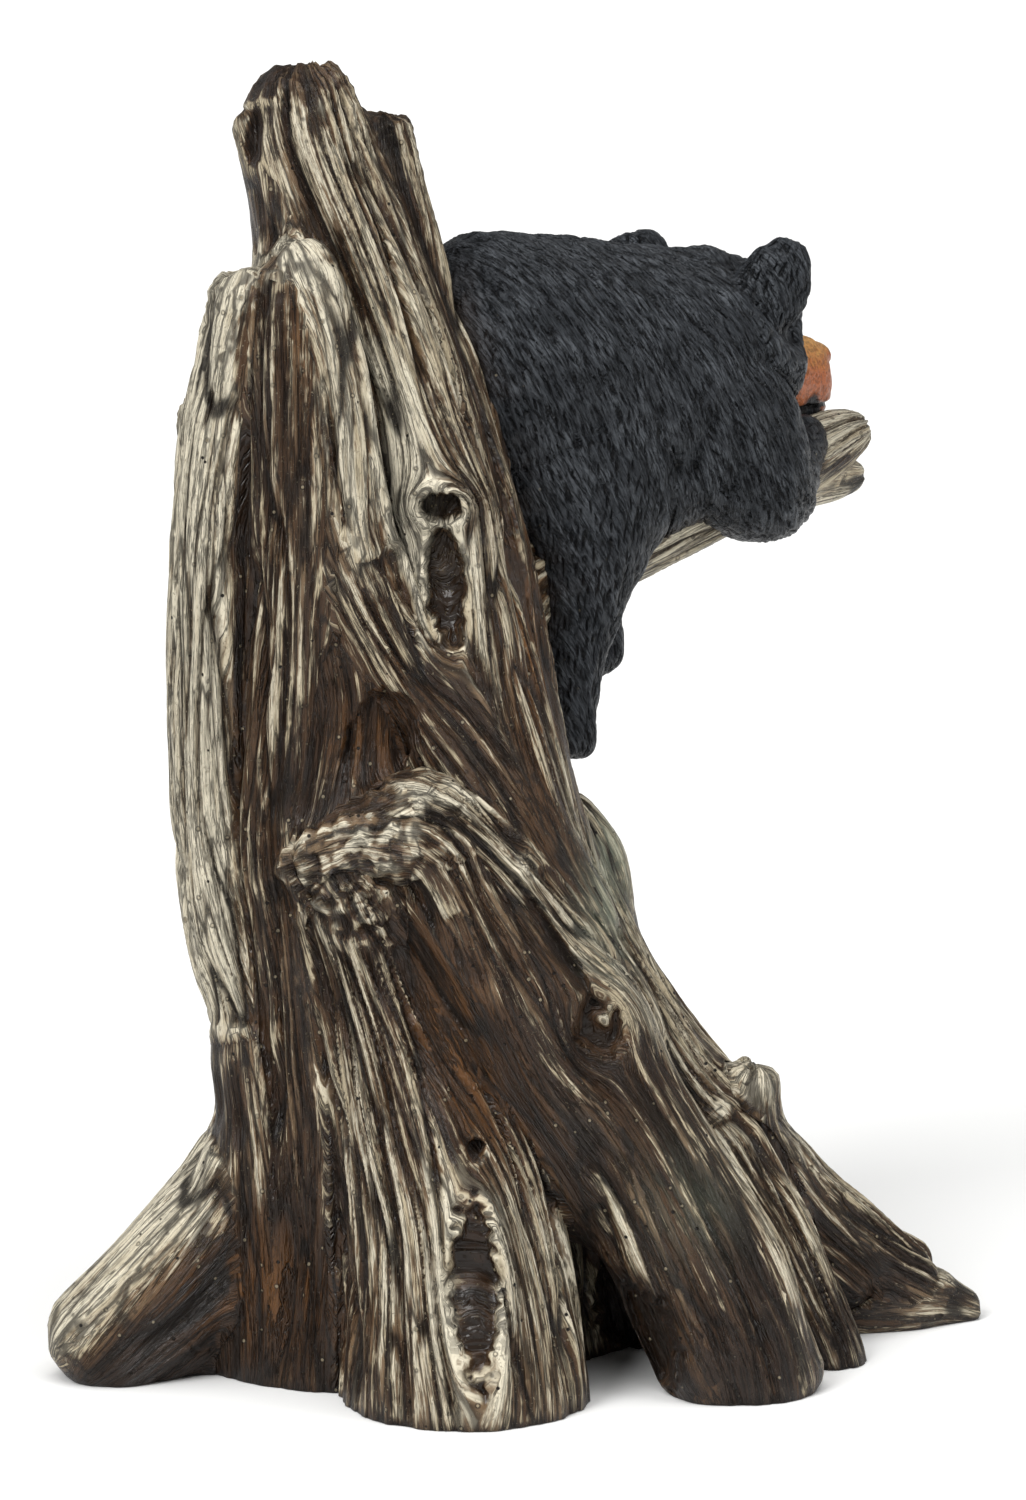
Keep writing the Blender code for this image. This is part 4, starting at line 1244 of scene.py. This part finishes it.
casting_marks, t, takes, gives = new_group(
    "casting_marks",
    {"Spacing": NUMBER, "Size": NUMBER, "Share": NUMBER},
    {"Beads": NUMBER, "Rings": NUMBER, "Pinholes": NUMBER},
)
place = t.node("ShaderNodeTexCoord").outputs["Object"]
scaled = t.node("ShaderNodeVectorMath", {0: place, "Scale": 1 / UNIT}, operation="SCALE").outputs[0]
cells = t.node(
    "ShaderNodeTexVoronoi", {"Vector": scaled, "Scale": t.math("DIVIDE", 1.0, takes["Spacing"])}
)
lottery = t.node("ShaderNodeSeparateColor", {0: cells.outputs["Color"]}).outputs
distance = t.times(cells.outputs["Distance"], takes["Spacing"])
dot = t.rise(distance, takes["Size"], t.times(takes["Size"], 0.6))
wide_dot = t.rise(distance, t.times(takes["Size"], 1.8), takes["Size"])
is_bead = t.math("LESS_THAN", lottery[0], takes["Share"])
t.feed(gives["Beads"], t.times(dot, is_bead))
t.feed(gives["Rings"], t.times(t.minus(wide_dot, dot), is_bead))
t.feed(gives["Pinholes"], t.times(dot, t.math("LESS_THAN", lottery[1], takes["Share"])))


def place_group(tree, group, values):
    """The outputs of a group placed in a tree."""
    node = tree.node("ShaderNodeGroup", node_tree=group)
    for label, value in values.items():
        tree.feed(node.inputs[label], value)
    return node.outputs


print("node groups:", [group.name for group in bpy.data.node_groups])

# %% [markdown]
# ## Painted wood
# The colours go on as a painter would lay them: a dark brown stain, a warmer brown where it thinned, an
# amber glaze in a few places, cream dragged over the plates and crests, a near-black wash that runs into
# cracks and valleys, and last some cream specks. The darkness in the deeper valleys and knot hollows is
# partly painted shade, and the pale beads are painted glints. One noise would look like film grain from near
# or far, so streaks of four widths, from 5 mm down to a hair's, share the work.

# %% Colours and streaks of the wood
STAIN = (0.022, 0.012, 0.007)
DEEP_STAIN = (0.040, 0.019, 0.008)
WARM_STAIN = (0.068, 0.036, 0.017)
TAN_STAIN = (0.195, 0.132, 0.075)
AMBER_GLAZE = (0.160, 0.066, 0.016)
CREAM = (0.430, 0.360, 0.240)
PALE_CREAM = (0.680, 0.620, 0.480)
WASH = (0.0075, 0.0050, 0.0035)
VERDIGRIS = (0.340, 0.370, 0.280)
# Each streak's length and width in units, and the half width of its line in the noise's value.
STREAKS = {
    "wide": (60.0, 5.0, 0.02), "fibre": (34.0, 1.9, 0.035), "fine": (16.0, 0.85, 0.05),
    "hair": (7.0, 0.4, 0.05),
}


def streaks_along(t, grain_vector, size):
    """Outputs of streaks of one size along the grain."""
    length, width, line = size
    return place_group(t, fibres, {"Grain": grain_vector, "Length": length, "Width": width, "Line": line})


print("widths of the streaks in mm:", [width for _, width, _ in STREAKS.values()])


# %% Stain
def stained_wood(t, tone, wide, fibre):
    """Dark stain, warmer and then tan where the wood is light, with amber in a few places."""
    warmth = t.plus(wide["Value"], t.times(tone, 0.08))
    base = t.mix(t.rise(warmth, 0.36, 0.6), STAIN, WARM_STAIN)
    thinned = t.plus(fibre["Value"], t.times(tone, 0.16))
    base = t.mix(t.rise(thinned, 0.44, 0.66, 0.0, 0.8), base, TAN_STAIN)
    return t.mix(t.times(t.mark("amber"), t.rise(fibre["Value"], 0.35, 0.6)), base, AMBER_GLAZE)


print("stain, warm and tan, in red:", STAIN[0], WARM_STAIN[0], TAN_STAIN[0])


# %% Dry brush over the wood
BRUSH_RAGGEDNESS, BRUSH_SOFTNESS = 3.0, 0.34


def brushed_share(t, tone, fibre, fine, hair):
    """Where the brush left cream, from 0 to 1."""
    level = t.weighted(
        (t.mark("plate"), 0.6),
        (tone, 0.75),
        (t.rise(t.size(t.mark("ridge")), 0.05, 0.4, -0.5, 0.02), 1.0),
        (t.minus(fibre["Value"], 0.5), 1.0),
        (t.minus(hair["Value"], 0.5), 2.4),
        (t.mark("valley"), -1.3),
        (t.mark("torn"), -0.9),
    )
    inputs = {
        "Height": level, "Streak": fine["Value"], "Raggedness": BRUSH_RAGGEDNESS, "Softness": BRUSH_SOFTNESS,
    }
    brushed = place_group(t, dry_brush, inputs)["Mask"]
    brushed = t.times(brushed, t.rise(hair["Value"], 0.36, 0.52, 0.3, 1.0))
    thick = t.times(t.rise(tone, 0.95, 1.6), t.rise(fine["Value"], 0.36, 0.44, 0.25, 1.0))
    return t.larger(brushed, thick)


print("the brush fades over", 2 * BRUSH_SOFTNESS, "of its height")


# %% Pooled stain, painted shade and wash
def washed(t, coloured, wide, fibre, fine, hair):
    """Stain settled in the hollows, and near-black wash in cracks and between fibres; in the deeper hollows
    both are partly painted shade.
    """
    valley = t.mark("valley")
    stain_and_shade = t.larger(t.rise(valley, 0.3, 0.95, 0.0, 0.92), t.times(t.mark("pressed"), 0.8))
    stain_and_shade = t.times(stain_and_shade, t.rise(fine["Value"], 0.34, 0.5, 1.0, 0.7))
    coloured = t.mix(stain_and_shade, coloured, t.mix(t.rise(wide["Value"], 0.4, 0.6), STAIN, DEEP_STAIN))
    wash_and_deep_shade = t.larger(t.rise(t.mark("crack"), 0.78, 0.98), t.times(fibre["Lines"], 0.85))
    wash_and_deep_shade = t.larger(wash_and_deep_shade, t.rise(t.size(t.mark("ridge")), 0.11, 0.02, 0.0, 0.85))
    wash_and_deep_shade = t.larger(wash_and_deep_shade, t.times(fine["Lines"], 0.55))
    # The deepest hollows go near-black as painted shade.
    wash_and_deep_shade = t.larger(wash_and_deep_shade, t.rise(valley, 0.86, 1.0, 0.0, 0.8))
    wash_and_deep_shade = t.times(wash_and_deep_shade, t.rise(hair["Value"], 0.3, 0.45, 0.55, 0.95))
    return t.mix(wash_and_deep_shade, coloured, WASH)


print("wash and deep stain, in red:", WASH[0], DEEP_STAIN[0])


# %% Specks, beads and green
def flecked(t, coloured, tone, stipple, fibre, marks):
    """Cream specks, a green bloom on the burl, the pinholes of the casting, and its beads painted pale as
    glints.
    """
    coloured = t.mix(t.times(stipple, t.rise(tone, -1.2, 0.6, 0.12, 0.6)), coloured, CREAM)
    bloom = t.times(t.mark("green"), t.rise(fibre["Value"], 0.35, 0.55))
    coloured = t.mix(bloom, coloured, VERDIGRIS)
    dark = t.larger(marks["Pinholes"], t.times(marks["Rings"], 0.6))
    coloured = t.mix(dark, coloured, WASH)
    # The beads are painted pale as glints.
    return t.mix(t.times(marks["Beads"], 0.5), coloured, CREAM)


print("paint layers:", [layer.__name__ for layer in (stained_wood, brushed_share, washed, flecked)])

# %% Wood paint
WOOD_ROUGHNESS, WOOD_SPECULAR, WOOD_BUMP = (0.3, 0.5), 0.3, 1.1


def painted_wood():
    """The stump's material."""
    material = bpy.data.materials.new("painted_wood")
    material.use_nodes = True
    t = Tree(material.node_tree)
    shader = material.node_tree.nodes["Principled BSDF"]
    grain_vector = t.mark("grain", "Vector")
    wide, fibre, fine, hair = (streaks_along(t, grain_vector, size) for size in STREAKS.values())
    marks = place_group(t, casting_marks, {"Spacing": 3.6, "Size": 0.5, "Share": 0.4})
    place = t.node("ShaderNodeTexCoord").outputs["Object"]
    stipple = t.rise(t.noise(place, 1.5 / UNIT, 3.0, 0.7), 0.61, 0.68)
    tone = t.mark("tone")

    brushed = brushed_share(t, tone, fibre, fine, hair)
    richness = t.plus(fibre["Value"], t.times(tone, 0.12))
    cream = t.mix(t.rise(richness, 0.46, 0.76), CREAM, PALE_CREAM)
    coloured = t.mix(brushed, stained_wood(t, tone, wide, fibre), cream)
    coloured = washed(t, coloured, wide, fibre, fine, hair)
    coloured = flecked(t, coloured, tone, stipple, fibre, marks)

    relief = t.weighted(
        (fibre["Value"], 1.6), (fibre["Lines"], -0.35), (fine["Value"], 0.8), (hair["Value"], 0.35),
        (marks["Beads"], 0.6), (stipple, 0.25), (marks["Pinholes"], -0.6),
    )
    bump = t.node("ShaderNodeBump", {"Height": relief, "Strength": 1.0, "Distance": WOOD_BUMP * UNIT})
    t.feed(shader.inputs["Base Color"], coloured)
    t.feed(shader.inputs["Normal"], bump.outputs["Normal"])
    t.feed(shader.inputs["Roughness"], t.rise(brushed, 0.0, 1.0, *WOOD_ROUGHNESS))
    shader.inputs["Specular IOR Level"].default_value = WOOD_SPECULAR
    return material


stump.data.materials.append(painted_wood())
print("stump material:", stump.data.materials[0].name)

# %% [markdown]
# ## Painted coat
# Charcoal is not black: the strokes stay nearly black, and the ridges between them take a bluish grey,
# partly from the dry brush and partly a painted sheen. Next to the wood some brown stain ran onto the fur,
# with a few pale beads painted as glints. The muzzle is orange tan, painted lighter and yellower where it
# faces up as painted light, and the nose is glossy black.

# %% Colours and layers of the coat
FUR_DARK = (0.0020, 0.0022, 0.0026)
FUR_BODY = (0.0205, 0.0230, 0.0270)
FUR_BRUSH_AND_SHEEN = (0.094, 0.103, 0.115)
MUZZLE_TAN = (0.380, 0.120, 0.048)
MUZZLE_LIT_TOP = (0.480, 0.250, 0.080)
NOSE_BLACK = (0.012, 0.011, 0.011)
COAT_ROUGHNESS, NOSE_ROUGHNESS, COAT_SPECULAR, COAT_BUMP = 0.3, 0.2, 0.17, 0.9
LOCK_STREAK, HAIR_STREAK = (12.0, 1.1, 0.05), (4.0, 0.6, 0.05)


def brushed_fur(t, ridge, thin, patch):
    """Charcoal with dark strokes, and grey on the ridges, partly where the brush caught them and partly a
    painted sheen.
    """
    coat = t.mix(ridge, FUR_DARK, FUR_BODY)
    grey_patches = t.plus(patch, t.times(t.mark("lock"), 0.15))
    # Grey on the ridges: dry brush and painted sheen.
    brush_and_sheen = t.times(t.times(ridge, t.rise(thin, 0.38, 0.66)), t.rise(grey_patches, 0.3, 0.7, 0.25, 0.95))
    coat = t.mix(brush_and_sheen, coat, FUR_BRUSH_AND_SHEEN)
    return t.mix(t.times(t.mark("pressed"), 0.7), coat, FUR_DARK)


def stained_by_wood(t, coat, patch, beads):
    """Brown stain where the coat meets the wood, and there a few pale beads painted as glints."""
    stained = t.times(t.mark("contact"), t.rise(patch, 0.35, 0.6))
    coat = t.mix(t.times(stained, 0.8), coat, STAIN)
    # Pale beads near the wood are painted glints.
    return t.mix(t.times(beads, t.mark("contact")), coat, CREAM)


def painted_face(t, coat, speck):
    """Tan muzzle, lighter and yellower where it faces up as painted light, black nose, and dark lines of the
    eyes and the mouth.
    """
    up = t.node("ShaderNodeSeparateXYZ", {0: t.node("ShaderNodeNewGeometry").outputs["Normal"]}).outputs[2]
    # Painted light: the muzzle is lighter and yellower where it faces up.
    tan = t.mix(t.rise(up, 0.1, 0.9), MUZZLE_TAN, MUZZLE_LIT_TOP)
    tan = t.mix(t.rise(speck, 0.6, 0.35, 0.0, 0.5), tan, STAIN)
    coat = t.mix(t.mark("muzzle"), coat, tan)
    coat = t.mix(t.mark("nose"), coat, NOSE_BLACK)
    return t.mix(t.rise(t.mark("eye_line"), 0.25, 0.6), coat, FUR_DARK)


print("layers of the coat:", [layer.__name__ for layer in (brushed_fur, stained_by_wood, painted_face)])


# %% Coat paint
def painted_coat():
    """The bear's material."""
    material = bpy.data.materials.new("painted_coat")
    material.use_nodes = True
    t = Tree(material.node_tree)
    shader = material.node_tree.nodes["Principled BSDF"]
    place = t.node("ShaderNodeTexCoord").outputs["Object"]
    patch = t.noise(place, 0.12 / UNIT, 2.0)
    speck = t.noise(place, 1.1 / UNIT, 2.0, 0.7)
    marks = place_group(t, casting_marks, {"Spacing": 3.2, "Size": 0.42, "Share": 0.35})
    combed_vector = t.mark("combed", "Vector")
    lock = streaks_along(t, combed_vector, LOCK_STREAK)["Value"]
    thin = streaks_along(t, combed_vector, HAIR_STREAK)["Value"]
    ridge = t.rise(t.size(t.minus(lock, 0.5)), 0.002, 0.03, 0.25, 1.0)
    ridge = t.times(ridge, t.rise(t.mark("stroke"), 0.95, 0.5))

    coat = brushed_fur(t, ridge, thin, patch)
    coat = stained_by_wood(t, coat, patch, marks["Beads"])
    coat = painted_face(t, coat, speck)

    relief = t.weighted((ridge, 0.7), (thin, 1.2))
    relief = t.times(relief, t.minus(1.0, t.mark("muzzle")))
    relief = t.plus(relief, t.weighted((speck, 0.35), (marks["Pinholes"], -0.5)))
    bump = t.node("ShaderNodeBump", {"Height": relief, "Strength": 1.0, "Distance": COAT_BUMP * UNIT})
    t.feed(shader.inputs["Base Color"], coat)
    t.feed(shader.inputs["Normal"], bump.outputs["Normal"])
    t.feed(shader.inputs["Roughness"], t.rise(t.mark("nose"), 0.0, 1.0, COAT_ROUGHNESS, NOSE_ROUGHNESS))
    shader.inputs["Specular IOR Level"].default_value = COAT_SPECULAR
    return material


sleeper.data.materials.append(painted_coat())
print("bear material:", sleeper.data.materials[0].name)

# %% [markdown]
# ## Fitting the pieces to the imported model
# Both pieces were cast as one and never move, so they ride on the only body and stand for the one imported
# solid.

# %% Riding and replacing
for piece in (stump, sleeper):
    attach(piece, "root")
    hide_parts("bear_on_stump")

# %% [markdown]
# ## Camera
# The photo was taken from a little above, with a long lens and the stump's broad side towards it.
# The camera looks at the same point of the figure from the same side.

# %% Camera
PHOTO_TALL, PHOTO_WIDE = 1500, 1026
FOCAL_PIXELS = 5992
CAMERA_RISE = math.radians(9.5)
CAMERA_DISTANCE = 1400 * UNIT
LOOK_HEIGHT = 141.5
SENSOR = 36.0
target = Vector((shift[0], shift[1], LOOK_HEIGHT)) * UNIT
back = Vector((0, -math.cos(CAMERA_RISE), math.sin(CAMERA_RISE)))
camera_data = bpy.data.cameras.new("camera")
camera_data.sensor_width = SENSOR
camera_data.lens = FOCAL_PIXELS * SENSOR / max(PHOTO_TALL, PHOTO_WIDE)
camera_data.clip_start = 0.01
camera = bpy.data.objects.new("camera", camera_data)
camera.location = target + back * CAMERA_DISTANCE
camera.rotation_euler = (-back).to_track_quat("-Z", "Y").to_euler()
bpy.context.scene.collection.objects.link(camera)
bpy.context.scene.camera = camera
print("lens:", round(camera_data.lens, 1), "mm")

# %% [markdown]
# ## Floor and light
# A white tent with soft lamps leaves almost no shadow and many small glints on the varnish. A pale
# floor and a white world stand for the tent. The world glows fully white only for the camera and
# more softly for the figure, so that the lamps can shape it: one overhead, one from the upper left,
# and a weaker one from the right that fills the shadows.

# %% Floor
floor_mesh = bpy.data.meshes.new("floor")
FLOOR_HALF, FLOOR_GAP = 12.0, 0.0002
corners = [(x * FLOOR_HALF, y * FLOOR_HALF, 0) for x, y in ((-1, -1), (1, -1), (1, 1), (-1, 1))]
floor_mesh.from_pydata(corners, [], [(0, 1, 2, 3)])
floor = bpy.data.objects.new("floor", floor_mesh)
floor.location.z = low_corner.z - FLOOR_GAP
bpy.context.scene.collection.objects.link(floor)
floor_material = bpy.data.materials.new("pale_floor")
floor_material.use_nodes = True
floor_shader = floor_material.node_tree.nodes["Principled BSDF"]
floor_shader.inputs["Base Color"].default_value = (0.88, 0.88, 0.87, 1)
floor_shader.inputs["Roughness"].default_value = 0.7
floor_mesh.materials.append(floor_material)
print("floor", 2 * FLOOR_HALF, "m wide")

# %% Light
TENT_GLOW, BACKDROP_GLOW = 0.24, 1.0
# Each lamp's rise and turn from the front in degrees, its softness in degrees and its strength.
LAMPS = {
    "top_lamp": (80, 0, 60, 2.2), "main_lamp": (38, -38, 26, 2.1), "side_lamp": (22, 62, 24, 0.8),
}
world = bpy.data.worlds.new("white_tent")
world.use_nodes = True
t = Tree(world.node_tree)
seen_directly = t.node("ShaderNodeLightPath").outputs["Is Camera Ray"]
glow = t.node("ShaderNodeMapRange", {"Value": seen_directly, "To Min": TENT_GLOW, "To Max": BACKDROP_GLOW})
background = world.node_tree.nodes["Background"]
background.inputs["Color"].default_value = (1.0, 1.0, 1.0, 1)
t.feed(background.inputs["Strength"], glow.outputs["Result"])
bpy.context.scene.world = world


def add_lamp(name, rise, turn, softness, strength):
    """A distant soft lamp."""
    lamp = bpy.data.lights.new(name, "SUN")
    lamp.energy, lamp.angle = strength, math.radians(softness)
    obj = bpy.data.objects.new(name, lamp)
    obj.rotation_euler = (math.radians(90 - rise), 0, math.radians(turn))
    bpy.context.scene.collection.objects.link(obj)


for name, settings in LAMPS.items():
    add_lamp(name, *settings)
bpy.context.scene.view_settings.view_transform = "Standard"
print("lamps:", len(bpy.data.lights))
